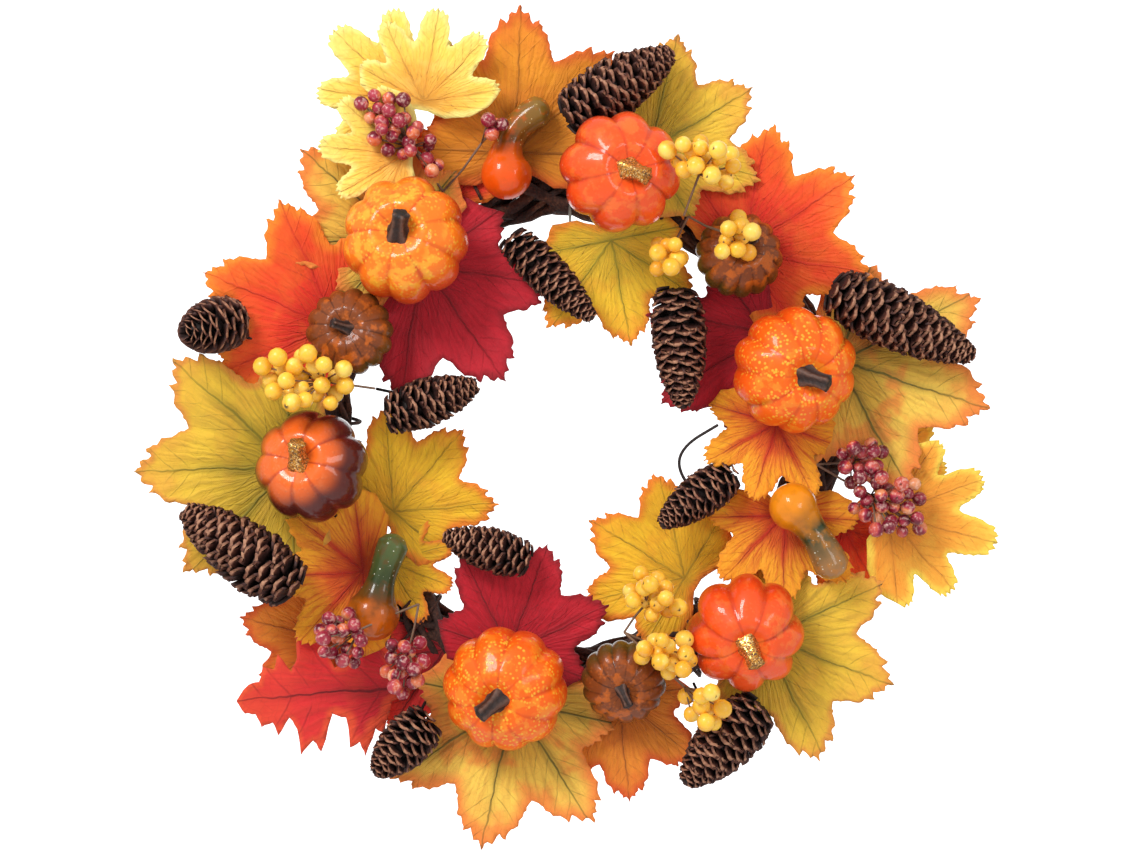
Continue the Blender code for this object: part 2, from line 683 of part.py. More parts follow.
def make_cone(cone, collection, frame, stack):
    """Pine cone, with the wire that binds it to the ring where it stands off it."""
    obj = cone_body(cone, cone.name)
    turn = facing(cone.heading, cone.pitch)
    place = spot(cone.clock, cone.offset)
    if cone.wire:
        inner = place - direction(cone.clock) * math.copysign(cone.wire / 1000, cone.offset)
        local = turn.inverted() @ Matrix.Translation(-place)
        shape = bmesh.new()
        add_rod(shape, local @ place, local @ inner, CONE_WIRE)
        obj = united(cone.name, obj, mesh_object("binding", shape))
    obj.matrix_local = Matrix.Translation(place - frame.location) @ turn
    finish(obj, collection, make_material(cone.name, CONE_BROWN, 0.75), frame)
    stack.lay(obj, limit=BACK_Y - DOOR_GAP)
    return obj


def make_hanging_cone(collection, frame, stack):
    """Cone that hangs inside the ring on a bent wire, with the wire's hooked end as its pivot."""
    cone = HANGING_CONE
    root = spot(cone.clock, cone.offset)
    middle = root + HANGING_DROP
    turn = facing(cone.heading, cone.pitch)
    knee = middle + direction(cone.heading - 90) * (cone.width / 2000 + KNEE_RISE)
    local = turn.inverted() @ Matrix.Translation(-middle)
    bends = [local @ point for point in (root, root.lerp(knee, 0.55) + KNEE_SWAY, knee, middle)]
    wire = as_mesh(wire_curve("wire", bends, CONE_WIRE, sides=1), "wire")
    obj = united(cone.name, cone_body(cone, cone.name), wire)
    pivot = make_pivot(cone.name, root - frame.location, collection, frame)
    obj.matrix_local = Matrix.Translation(middle - root) @ turn
    finish(obj, collection, make_material(cone.name, CONE_BROWN, 0.75), pivot)
    stack.lay(obj, limit=BACK_Y - DOOR_GAP)
    settle_pivot(obj, pivot)


def settle_pivot(obj, pivot):
    """Bring a pivot to the depth at which its piece came to rest."""
    shift = obj.location.y
    pivot.location.y += shift
    obj.location.y -= shift
    bpy.context.view_layer.update()


def berry_places(spray, cluster, generator):
    """Berry centres of one cluster, from the spray's root, in a sunflower pattern on a low dome."""
    along = direction(cluster.heading)
    across = along.cross(FRONT)
    middle = along * (cluster.reach / 1000)
    places = []
    for index in range(cluster.count):
        share = math.sqrt((index + 0.5) / cluster.count)
        angle = index * math.radians(SUNFLOWER_ANGLE)
        step = along * (share * math.cos(angle) * (cluster.long / 2000 - spray.berry * 0.6))
        step += across * (share * math.sin(angle) * (cluster.wide / 2000 - spray.berry * 0.6))
        rise = cluster.rise / 1000 * (1.15 - 0.6 * share * share) + generator.uniform(-0.001, 0.001)
        places.append(middle + step + FRONT * rise)
    return places


def make_spray(spray, number, collection, frame, stack):
    """Berries on wire stems that meet at the spray's root, all one piece."""
    generator = random.Random(100 + number)
    root = Vector((0.0, 0.0, 0.0))
    berries = bmesh.new()
    stalks = bmesh.new()
    for cluster in spray.clusters:
        fork = direction(cluster.heading) * (cluster.reach / 1000 * 0.62) + FRONT * (cluster.rise / 2000)
        add_rod(stalks, root, fork, BERRY_WIRE * 1.5)
        bmesh.ops.create_icosphere(
            stalks, subdivisions=1, radius=BERRY_WIRE * 4, matrix=Matrix.Translation(fork)
        )
        for place in berry_places(spray, cluster, generator):
            turn = Matrix.Rotation(generator.uniform(0, 3), 4, "Y")
            size = spray.berry * generator.uniform(0.94, 1.06)
            bmesh.ops.create_icosphere(
                berries, subdivisions=1, radius=size * 1.06, matrix=Matrix.Translation(place) @ turn
            )
            add_rod(stalks, fork, place, BERRY_WIRE, sides=3)
    obj = united(spray.name, mesh_object("berries", berries), mesh_object("stalks", stalks))
    pivot = make_pivot(spray.name, spot(spray.clock, spray.offset) - frame.location, collection, frame)
    roughness = 0.25 if spray.berry == YELLOW_BERRY else 0.4
    finish(obj, collection, make_material(spray.name, spray.tint, roughness), pivot)
    stack.lay(obj, limit=BACK_Y - DOOR_GAP)
    settle_pivot(obj, pivot)


def main():
    """Build the wreath, back to front."""
    clear_scene()
    wreath = bpy.data.collections.new("harvest_door_wreath")
    cutters = bpy.data.collections.new("cutters")
    for collection in (wreath, cutters):
        bpy.context.scene.collection.children.link(collection)
    frame = bpy.data.objects.new("wreath_centre", None)
    wreath.objects.link(frame)
    frame.location = (0.0, 0.0, -HANG_HEIGHT)
    bpy.context.view_layer.update()

    stack = Stack()
    ring = make_ring(wreath, frame)
    notch_ring(ring, cutters, frame)
    stack.add(ring)
    stack.add(make_tie(wreath, frame))
    make_loop(wreath, frame)
    for leaf in LEAVES:
        make_leaf(leaf, wreath, frame, stack)
    for pumpkin in SMALL_PUMPKINS:
        make_pumpkin(pumpkin, wreath, frame, stack, small=True)
    for cone in CONES:
        make_cone(cone, wreath, frame, stack)
    make_hanging_cone(wreath, frame, stack)
    for gourd in GOURDS:
        make_gourd(gourd, wreath, frame, stack)
    pumpkins = {}
    for pumpkin in PUMPKINS:
        pumpkins[pumpkin.name] = (pumpkin, make_pumpkin(pumpkin, wreath, frame, stack))
    for stem in STEMS:
        stack.add(make_stem(stem, pumpkins, wreath, frame))
    for number, spray in enumerate(SPRAYS):
        make_spray(spray, number, wreath, frame, stack)


main()
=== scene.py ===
"""Looks of a harvest door wreath: twigs, silk leaves, pumpkins, gourds, pine cones and berries.

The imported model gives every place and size. Solid pieces are shaped first, then each silk leaf is
curled and pressed between what lies behind and in front of it, and the berry sprays go on last.
"""

import json
import logging
import math
import random
from collections.abc import Iterable
from dataclasses import dataclass
from enum import Enum

import bmesh
import bpy
import numpy as np
from mathutils import Matrix, Vector, noise
from mathutils.bvhtree import BVHTree


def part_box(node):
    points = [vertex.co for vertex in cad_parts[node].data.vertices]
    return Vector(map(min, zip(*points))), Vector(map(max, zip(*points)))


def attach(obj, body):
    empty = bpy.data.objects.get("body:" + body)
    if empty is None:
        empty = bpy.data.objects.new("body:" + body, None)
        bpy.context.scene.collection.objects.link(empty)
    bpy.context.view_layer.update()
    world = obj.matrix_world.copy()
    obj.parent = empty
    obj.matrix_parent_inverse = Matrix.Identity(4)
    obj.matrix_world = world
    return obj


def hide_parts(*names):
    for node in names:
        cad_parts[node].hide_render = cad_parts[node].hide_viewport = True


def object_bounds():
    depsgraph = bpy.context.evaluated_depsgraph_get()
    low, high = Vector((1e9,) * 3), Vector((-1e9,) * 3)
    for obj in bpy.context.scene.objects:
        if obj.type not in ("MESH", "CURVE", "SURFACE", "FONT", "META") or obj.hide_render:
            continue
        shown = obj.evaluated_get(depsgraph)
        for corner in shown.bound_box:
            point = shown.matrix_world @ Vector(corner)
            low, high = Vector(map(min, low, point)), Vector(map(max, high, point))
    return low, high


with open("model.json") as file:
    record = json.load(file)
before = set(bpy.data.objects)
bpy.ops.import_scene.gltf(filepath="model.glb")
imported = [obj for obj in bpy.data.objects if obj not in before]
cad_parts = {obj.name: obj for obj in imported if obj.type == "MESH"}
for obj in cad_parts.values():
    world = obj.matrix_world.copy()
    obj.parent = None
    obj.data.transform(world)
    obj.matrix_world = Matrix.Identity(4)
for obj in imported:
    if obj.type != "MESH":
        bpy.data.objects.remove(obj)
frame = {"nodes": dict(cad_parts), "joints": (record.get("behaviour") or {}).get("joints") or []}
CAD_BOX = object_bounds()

LOG = logging.getLogger("wreath")
BODY = "wreath"
FRONT = Vector((0.0, -1.0, 0.0))
MM = 0.001
VINE_TUBE = 0.020
RING_BACK = 0.017
DOOR_Y = 0.003
Color = tuple[float, float, float]


def ink(code: str) -> Color:
    """Linear colour from a hex code.

    Args:
        code: six hex digits.

    Returns:
        Red, green and blue in linear light.
    """
    values = [int(code[start:start + 2], 16) / 255 for start in (0, 2, 4)]
    return tuple(v / 12.92 if v <= 0.04045 else ((v + 0.055) / 1.055) ** 2.4 for v in values)


class Signal:
    """An output socket that can be used in Python arithmetic."""

    def __init__(self, shader: "Shader", socket: bpy.types.NodeSocket) -> None:
        """Wrap a socket of a shader's node tree."""
        self.shader = shader
        self.socket = socket

    def __add__(self, other: "Signal | float") -> "Signal":
        """Sum."""
        return self.shader.maths("ADD", self, other)

    __radd__ = __add__

    def __sub__(self, other: "Signal | float") -> "Signal":
        """Difference."""
        return self.shader.maths("SUBTRACT", self, other)

    def __rsub__(self, other: float) -> "Signal":
        """Difference from a number."""
        return self.shader.maths("SUBTRACT", other, self)

    def __mul__(self, other: "Signal | float") -> "Signal":
        """Product."""
        return self.shader.maths("MULTIPLY", self, other)

    __rmul__ = __mul__

    def __truediv__(self, other: "Signal | float") -> "Signal":
        """Quotient."""
        return self.shader.maths("DIVIDE", self, other)

    def __pow__(self, other: float) -> "Signal":
        """Power."""
        return self.shader.maths("POWER", self, other)

    def __abs__(self) -> "Signal":
        """Size without sign."""
        return self.shader.maths("ABSOLUTE", self)


class Shader:
    """A material with a Principled surface, built up from signals."""

    def __init__(self, name: str, **uniform: float) -> None:
        """Start a material.

        Args:
            name: the material's name.
            uniform: values that are the same all over, by socket name with _ for spaces.
        """
        self.material = bpy.data.materials.new(name)
        self.material.use_nodes = True
        self.tree = self.material.node_tree
        self.surface = self.tree.nodes["Principled BSDF"]
        for key, value in uniform.items():
            self.surface.inputs[key.replace("_", " ")].default_value = value

    def node(self, kind: str, settings: dict, inputs: dict, output: int | str = 0) -> Signal:
        """Add a node.

        Args:
            kind: the node's type.
            settings: its properties, or a ramp's stops as (place, colour) pairs.
            inputs: values or signals, by socket name or number.
            output: the socket that is wanted.

        Returns:
            The output as a signal.
        """
        made = self.tree.nodes.new(kind)
        for key, value in settings.items():
            if key == "stops":
                self._set_stops(made.color_ramp, value)
            else:
                setattr(made, key, value)
        for key, value in inputs.items():
            if isinstance(value, Signal):
                self.tree.links.new(value.socket, made.inputs[key])
            else:
                made.inputs[key].default_value = value
        return Signal(self, made.outputs[output])

    @staticmethod
    def _set_stops(ramp: bpy.types.ColorRamp, stops: list[tuple[float, Color]]) -> None:
        """Give a ramp its stops.

        Args:
            ramp: the colour ramp.
            stops: its stops, as place and colour.
        """
        while len(ramp.elements) < len(stops):
            ramp.elements.new(0.5)
        for element, (place, color) in zip(ramp.elements, stops):
            element.position = place
            element.color = (*color, 1.0)

    def maths(self, operation: str, *values: "Signal | float") -> Signal:
        """One Math node over signals and numbers."""
        return self.node("ShaderNodeMath", {"operation": operation}, dict(enumerate(values)))

    def mix(self, share: Signal | float, first: Signal | Color, second: Signal | Color) -> Signal:
        """Blend two colours.

        Args:
            share: 0 for the first, 1 for the second.
            first: a colour or signal.
            second: a colour or signal.

        Returns:
            The blend.
        """
        inputs = {0: share}
        for index, color in ((6, first), (7, second)):
            inputs[index] = color if isinstance(color, Signal) else (*color, 1.0)
        return self.node("ShaderNodeMix", {"data_type": "RGBA", "clamp_factor": True}, inputs, 2)

    def ramp(self, share: Signal, stops: list[tuple[float, Color]]) -> Signal:
        """Colour along stops."""
        return self.node("ShaderNodeValToRGB", {"stops": stops}, {0: share})

    def rise(self, value: Signal, low: float, high: float) -> Signal:
        """Smooth step from 0 at low to 1 at high."""
        settings = {"interpolation_type": "SMOOTHSTEP"}
        return self.node("ShaderNodeMapRange", settings, {0: value, 1: low, 2: high})

    def place(self) -> Signal:
        """Object coordinates."""
        return self.node("ShaderNodeTexCoord", {}, {}, "Object")

    def noise(self, scale: float, detail: float = 2.0, where: Signal | None = None) -> Signal:
        """Cloudy value around 0.5, at a scale in features a metre."""
        inputs = {"Vector": where or self.place(), "Scale": scale, "Detail": detail}
        return self.node("ShaderNodeTexNoise", {}, inputs)

    def cells(self, scale: float, output: str = "Distance", where: Signal | None = None) -> Signal:
        """Distance to, or colour of, scattered cells."""
        inputs = {"Vector": where or self.place(), "Scale": scale}
        return self.node("ShaderNodeTexVoronoi", {}, inputs, output)

    def attribute(self, name: str) -> Signal:
        """A number stored on the mesh."""
        return self.node("ShaderNodeAttribute", {"attribute_name": name}, {}, "Fac")

    def bump(self, height: Signal, depth: float, strength: float = 1.0) -> None:
        """Add relief, depth in metres.

        Args:
            height: the relief.
            depth: its full depth in metres.
            strength: its share that shows.
        """
        before = self.surface.inputs["Normal"]
        inputs = {"Height": height, "Distance": depth, "Strength": strength}
        if before.is_linked:
            inputs["Normal"] = Signal(self, before.links[0].from_socket)
        self.feed("Normal", self.node("ShaderNodeBump", {}, inputs))

    def feed(self, socket: str, value: Signal) -> None:
        """Link a signal to the surface."""
        self.tree.links.new(value.socket, self.surface.inputs[socket])


def heading_vector(heading: float) -> Vector:
    """Unit vector in the wreath's plane, degrees from +X towards +Z."""
    angle = math.radians(heading)
    return Vector((math.cos(angle), 0.0, math.sin(angle)))


def facing(heading: float, pitch: float = 0.0, roll: float = 0.0) -> Matrix:
    """Turn that carries +Y to a heading and +Z to the viewer, then pitches and rolls.

    Args:
        heading: degrees in the wreath's plane.
        pitch: degrees by which the far end comes forward.
        roll: degrees about the heading.

    Returns:
        A 4 by 4 matrix.
    """
    along = heading_vector(heading)
    basis = Matrix((along.cross(FRONT), along, FRONT)).transposed().to_4x4()
    turn = Matrix.Rotation(math.radians(pitch), 4, "X")
    return basis @ turn @ Matrix.Rotation(math.radians(roll), 4, "Y")


def sweep(shape: bmesh.types.BMesh, points: list[Vector], radii: list[float], sides: int) -> list:
    """Run a closed round tube along points.

    Args:
        shape: the bmesh that takes the tube.
        points: the tube's middle line.
        radii: its radius at each point.
        sides: the number of sides.

    Returns:
        The vertices, ring by ring.
    """
    made = bmesh.ops.create_circle(shape, cap_ends=True, segments=sides, radius=1.0)
    ring = made["verts"]
    rings = [ring]
    cap = ring[0].link_faces[0]
    for _ in points[1:]:
        edges = list({edge for vert in ring for edge in vert.link_edges
                      if edge.other_vert(vert) in ring})
        new = bmesh.ops.extrude_edge_only(shape, edges=edges)["geom"]
        found = {vert for vert in new if isinstance(vert, bmesh.types.BMVert)}
        ring = [next(edge.other_vert(vert) for edge in vert.link_edges
                     if edge.other_vert(vert) in found) for vert in ring]
        rings.append(ring)
    side = None
    for index, ring in enumerate(rings):
        ahead = points[min(index + 1, len(points) - 1)] - points[max(index - 1, 0)]
        ahead.normalize()
        if side is None:
            side = ahead.orthogonal().normalized()
        side = (side - ahead * side.dot(ahead)).normalized()
        other = ahead.cross(side)
        for number, vert in enumerate(ring):
            angle = 2 * math.pi * number / sides
            vert.co = points[index] + (side * math.cos(angle) + other
                                       * math.sin(angle)) * radii[index]
    bmesh.ops.contextual_create(shape, geom=rings[-1])
    touched = {face for ring in rings for vert in ring for face in vert.link_faces} | {cap}
    bmesh.ops.recalc_face_normals(shape, faces=list(touched))
    return rings


def paint(shape: bmesh.types.BMesh, name: str, values: dict) -> None:
    """Store a number on vertices.

    Args:
        shape: the mesh.
        name: the attribute's name.
        values: a number for each vertex.
    """
    shape.verts.index_update()
    numbered = {vert.index: value for vert, value in values.items()}
    layer = shape.verts.layers.float.get(name) or shape.verts.layers.float.new(name)
    for vert in shape.verts:
        vert[layer] = numbered.get(vert.index, 0.0)


def make_piece(name: str, shape: bmesh.types.BMesh, material: bpy.types.Material,
               smooth: bool = True, sharp: float | None = None) -> bpy.types.Object:
    """Turn a bmesh into an object at the origin.

    Args:
        name: the object's name.
        shape: the bmesh, which is used up.
        material: its finish.
        smooth: whether it is shaded smooth.
        sharp: the angle in degrees past which an edge stays sharp.

    Returns:
        The object.
    """
    mesh = bpy.data.meshes.new(name)
    shape.to_mesh(mesh)
    shape.free()
    mesh.materials.append(material)
    if smooth:
        mesh.shade_smooth()
    if sharp is not None:
        mesh.set_sharp_from_angle(angle=math.radians(sharp))
    piece = bpy.data.objects.new(name, mesh)
    bpy.context.scene.collection.objects.link(piece)
    return piece


def settle(piece: bpy.types.Object, body: str = BODY, nodes: Iterable[str] = ()) -> None:
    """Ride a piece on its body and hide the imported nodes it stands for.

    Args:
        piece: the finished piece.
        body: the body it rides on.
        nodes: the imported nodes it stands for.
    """
    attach(piece, body)
    if nodes:
        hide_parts(*nodes)
    LOG.info("%s: %d faces", piece.name, len(piece.data.polygons))


def hinge_of(body: str) -> tuple[Vector, list[Matrix]]:
    """A moving body's root, and its turns at rest, half way and at its limit.

    Args:
        body: the body's name.

    Returns:
        The point on the hinge, and three matrices.
    """
    joint = next(joint for joint in frame["joints"] if joint["child"] == body)
    root = Vector(joint["pos_m"])
    limit = math.radians(joint["range_deg"][1])
    place = Matrix.Translation(root)
    axis = Vector(joint["axis"])
    turns = [Matrix.Rotation(limit * share, 4, axis) for share in (0.0, 0.5, 1.0)]
    return root, [place @ turn @ place.inverted() for turn in turns]


class Crowd:
    """Everything placed so far, for finding the room around a point."""

    def __init__(self) -> None:
        """Start empty."""
        self.points: list[Vector] = []
        self.faces: list[tuple] = []
        self.tree: BVHTree | None = None

    def add(self, piece: bpy.types.Object, bends: Iterable[Matrix] = (Matrix(),)) -> None:
        """Take in a piece's mesh, at each of its bends."""
        self.take(piece.data, bends)

    def take(self, mesh: bpy.types.Mesh, bends: Iterable[Matrix]) -> None:
        """Take in a mesh at each bend.

        Args:
            mesh: the mesh.
            bends: a matrix for each bend.
        """
        for bend in bends:
            start = len(self.points)
            self.points.extend(bend @ vert.co for vert in mesh.vertices)
            self.faces.extend(tuple(start + i for i in face.vertices) for face in mesh.polygons)
        self.tree = None

    def ready(self) -> BVHTree:
        """The search tree, made anew when pieces were added.

        Returns:
            The search tree.
        """
        if self.tree is None:
            self.tree = BVHTree.FromPolygons(self.points, self.faces)
        return self.tree

    def room(self, point: Vector, toward: Vector) -> float:
        """Free way from a point in a direction."""
        distance = self.ready().ray_cast(point, toward)[3]
        return 1.0 if distance is None else distance


@dataclass(frozen=True)
class Ring:
    """The grapevine ring's size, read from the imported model."""

    centre: Vector
    radius: float
    tube: float

    @classmethod
    def from_frame(cls) -> "Ring":
        """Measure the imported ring.

        Returns:
            The ring as packed.
        """
        low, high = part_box("vine_ring")
        outer = (high.x - low.x) / 2
        tube = VINE_TUBE
        middle = Vector(((low.x + high.x) / 2, low.y + tube, (low.z + high.z) / 2))
        return cls(middle, outer - tube, tube)

    def spot(self, clock: float, offset: float, depth: float) -> Vector:
        """Point at a clock angle, an offset from the centre line in mm, and a depth in metres.

        Args:
            clock: degrees round the ring from the right.
            offset: millimetres outwards from its middle line.
            depth: the y coordinate in metres.

        Returns:
            The point.
        """
        point = self.centre + heading_vector(clock) * (self.radius + offset * MM)
        point.y = depth
        return point


RING = Ring.from_frame()


class LeafKind(Enum):
    """Shapes that the silk leaves are cut to."""

    MAPLE = "maple"
    CURLED = "curled"
    OAK = "oak"
    RED_OAK = "red_oak"


@dataclass(frozen=True)
class LeafCut:
    """How one kind of leaf is cut: its lobes, the flank from tip to notch, and its heel."""

    lobes: tuple[tuple[float, float], ...]
    flank: tuple[tuple[float, float], ...]
    notch: float
    heel: tuple[tuple[float, float], ...]
    vein_gap: float
    wobble: float


CUTS = {
    LeafKind.MAPLE: LeafCut(
        lobes=((0, 1.0), (45, 0.96), (88, 0.70)),
        flank=((0, 1.0), (0.08, 0.94), (0.17, 0.95), (0.28, 0.88), (0.40, 0.93), (0.50, 0.87),
               (0.64, 0.88), (0.78, 0.80), (0.90, 0.76)),
        notch=0.68, heel=((104, 0.57), (116, 0.55), (132, 0.36), (156, 0.15)), vein_gap=45,
        wobble=0.014),
    LeafKind.CURLED: LeafCut(
        lobes=((0, 1.0), (44, 1.0), (88, 0.88)),
        flank=((0, 1.0), (0.07, 0.94), (0.15, 0.98), (0.26, 0.90), (0.36, 0.95), (0.46, 0.86),
               (0.58, 0.88), (0.70, 0.78), (0.80, 0.80), (0.92, 0.70)),
        notch=0.64, heel=((104, 0.78), (120, 0.60), (140, 0.34), (158, 0.16)), vein_gap=44,
        wobble=0.020),
    LeafKind.OAK: LeafCut(
        lobes=((0, 1.0), (36, 0.95), (70, 0.82)),
        flank=((0, 1.0), (0.10, 0.96), (0.18, 1.0), (0.30, 0.95), (0.40, 0.98), (0.52, 0.91),
               (0.62, 0.90), (0.74, 0.80), (0.88, 0.72)),
        notch=0.66, heel=((86, 0.70), (100, 0.52), (120, 0.30), (150, 0.12)), vein_gap=36,
        wobble=0.014),
}
RED_OAK_EDGE = (
    (0.03, 0.02), (0.07, 0.06), (0.15, 0.09), (0.20, 0.27), (0.245, 0.24), (0.31, 0.40),
    (0.335, 0.31), (0.39, 0.34), (0.40, 0.16), (0.47, 0.13), (0.545, 0.35), (0.585, 0.28),
    (0.655, 0.36), (0.665, 0.20), (0.70, 0.13), (0.765, 0.23), (0.79, 0.15), (0.85, 0.17),
    (0.875, 0.09), (0.93, 0.08),
)


@dataclass(frozen=True)
class LeafPrint:
    """The colours printed on a silk leaf."""

    name: str
    heart: Color
    field: Color
    rim: Color
    vein: Color
    halo: float = 0.35
    rim_reach: float = 0.55
    streaks: float = 0.0
    ink_depth: float = 0.8
    tips: float = 0.7
    stains: float = 0.2

    def dress(self, kind: LeafKind) -> bpy.types.Material:
        """Material of a leaf of one kind in these colours.

        Args:
            kind: the cut, which sets where the veins run.

        Returns:
            The material.
        """
        cut = CUTS.get(kind)
        shader = Shader(f"{self.name}_{kind.value}", Roughness=0.62, Sheen_Weight=0.15,
                        Sheen_Roughness=0.5, Specular_IOR_Level=0.3)
        uv = shader.node("ShaderNodeUVMap", {"uv_map": "cloth"}, {})
        across = shader.node("ShaderNodeSeparateXYZ", {}, {0: uv}, 0) * 2 - 1
        along = shader.node("ShaderNodeSeparateXYZ", {}, {0: uv}, 1) * 2 - 1
        waver = (shader.noise(7, 2, uv) - 0.5) * 0.07
        jitter = (shader.noise(30, 2, uv) - 0.5) * 0.02
        side = across + waver + jitter
        reach = shader.maths("SQRT", side * side + along * along)
        if cut is None:
            depth, width = along, abs(side)
            period = 0.155
            slant = 0.75
            main = 1 - shader.rise(width + along * 0.006, 0.004, 0.013)
        else:
            gap = math.radians(cut.vein_gap)
            turn = shader.maths("ARCTAN2", side, along)
            nearest = shader.maths("ROUND", turn / gap)
            nearest = shader.maths("MAXIMUM", shader.maths("MINIMUM", nearest, 2.0), -2.0)
            local = turn - nearest * gap
            depth = reach * shader.maths("COSINE", local)
            width = abs(reach * shader.maths("SINE", local))
            period = 0.13
            slant = 1.15
            main = 1 - shader.rise(width + depth * 0.006, 0.003, 0.014)
        skew = (shader.noise(4.5, 1, uv) - 0.5) * 0.12
        phase = (depth - width * slant + skew) / period
        fine = abs(shader.maths("FRACT", phase + 100) - 0.5)
        fading = shader.rise(shader.noise(9, 2, uv), 0.36, 0.56)
        spread = 0.28 if cut else 0.46
        twig = (1 - shader.rise(fine, 0.0, 0.07)) * (1 - shader.rise(width, 0.06, spread)) * fading
        mesh_lines = shader.node("ShaderNodeTexVoronoi", {"feature": "DISTANCE_TO_EDGE"},
                                 {"Vector": uv, "Scale": 34.0})
        hair = 1 - shader.rise(mesh_lines, 0.0, 0.05)
        rim = shader.attribute("rim")
        cloud = shader.noise(5.5, 4, uv)
        ragged = rim + (cloud - 0.5) * 0.9 - width * 0.3
        body = shader.mix(shader.rise(reach + (cloud - 0.5) * 0.5, 0.1, 0.75), self.heart,
                          self.field)
        edge = (1 - shader.rise(ragged, 0.0, self.rim_reach))
        tipped = shader.rise(reach + (cloud - 0.5) * 0.8, 0.66, 1.08) * self.tips
        body = shader.mix(shader.maths("MAXIMUM", edge, tipped), body, self.rim)
        stain = shader.rise(shader.noise(8, 6, uv), 0.50, 0.66)
        body = shader.mix(stain * self.stains, body, self.rim)
        fan = shader.maths("ARCTAN2", side, along + 0.02) * 18
        rays = shader.node("ShaderNodeCombineXYZ", {}, {0: fan, 1: reach * 2.4})
        creases = shader.noise(1.0, 4, rays)
        flare = shader.rise(creases, 0.44, 0.68) * (1 - shader.rise(reach, 0.30, 1.0))
        body = shader.mix(flare * self.streaks, body, self.vein)
        body = shader.mix((creases - 0.35) * 0.5, body, self.rim)
        halo = (1 - shader.rise(width, 0.0, 0.075)) * (1 - shader.rise(reach, 0.35, 1.05))
        body = shader.mix(halo * self.halo, body, self.vein)
        lines = shader.maths("MAXIMUM", main * (1 - 0.35 * shader.rise(reach, 0.5, 1.0)), twig
                             * 0.42)
        lines = shader.maths("MAXIMUM", lines, hair * 0.10)
        body = shader.mix(lines * self.ink_depth, body, self.vein)
        grain = shader.noise(420, 2)
        body = shader.mix((grain - 0.35) * 0.28, body, self.heart)
        shader.feed("Base Color", body)
        shader.feed("Roughness", 0.55 + 0.2 * grain)
        shader.bump(main + twig * 0.6 + hair * 0.2, 0.0005, 0.8)
        shader.bump(creases + shader.noise(11, 4, uv), 0.0022, 0.7)
        pitch = 2 * math.pi / 0.0011
        spot = shader.node("ShaderNodeSeparateXYZ", {}, {0: shader.place()}, 0)
        rise = shader.node("ShaderNodeSeparateXYZ", {}, {0: shader.place()}, 2)
        weave = shader.maths("SINE", spot * pitch) * shader.maths("SINE", rise * pitch)
        shader.bump(weave + grain * 2, 0.00006, 0.6)
        return shader.material


PRINTS = {
    "lemon": LeafPrint("lemon", ink("FBB03A"), ink("FFDC58"), ink("FFF08A"), ink("F0A03A"), 0.35,
                       0.5,
                       0.2, 0.5),
    "amber": LeafPrint("amber", ink("DC8A20"), ink("F09822"), ink("DC6420"), ink("9A5A14"), 0.3,
                       0.6, 0.3,
                       0.6),
    "gold": LeafPrint("gold", ink("E8C030"), ink("FCCA2C"), ink("F28A24"), ink("8E8420"), 0.35,
                      0.6, 0.45),
    "sunny": LeafPrint("sunny", ink("F4BC24"), ink("FCC628"), ink("F08024"), ink("A8841A"), 0.3,
                       0.6, 0.45,
                       0.7),
    "olive": LeafPrint("olive", ink("D0AC2C"), ink("F2C63A"), ink("E0903A"), ink("747020"), 0.45,
                       0.35,
                       0.5, 0.8, 0.8),
    "veined": LeafPrint("veined", ink("DCB440"), ink("FAD054"), ink("EE8238"), ink("5E5A22"),
                        0.45, 0.8,
                        0.4, 1.0, 0.7, 0.75),
    "scarlet": LeafPrint("scarlet", ink("E8221E"), ink("F4501E"), ink("F88A26"), ink("D0281A"),
                         0.5, 0.6,
                         0.4, 0.6, 0.9),
    "crimson": LeafPrint("crimson", ink("C0182A"), ink("CC1C2E"), ink("96101E"), ink("7A0A16"),
                         0.35, 0.4,
                         0.4, 0.8, 0.5),
    "ember": LeafPrint("ember", ink("E0501A"), ink("FCAE22"), ink("F8A01E"), ink("C42414"), 0.75,
                       0.5,
                       1.0, 0.8),
    "russet": LeafPrint("russet", ink("C81428"), ink("E22C2C"), ink("E8502C"), ink("6E0C14"),
                        0.4, 0.25,
                        0.4, 1.0),
    "peach": LeafPrint("peach", ink("F2922C"), ink("F9A234"), ink("FDD850"), ink("D8842A"), 0.3,
                       0.5, 0.2,
                       0.6),
    "rust": LeafPrint("rust", ink("E07A24"), ink("F0922C"), ink("DC5A20"), ink("9A4A18"), 0.3,
                      0.7, 0.3,
                      0.6),
}


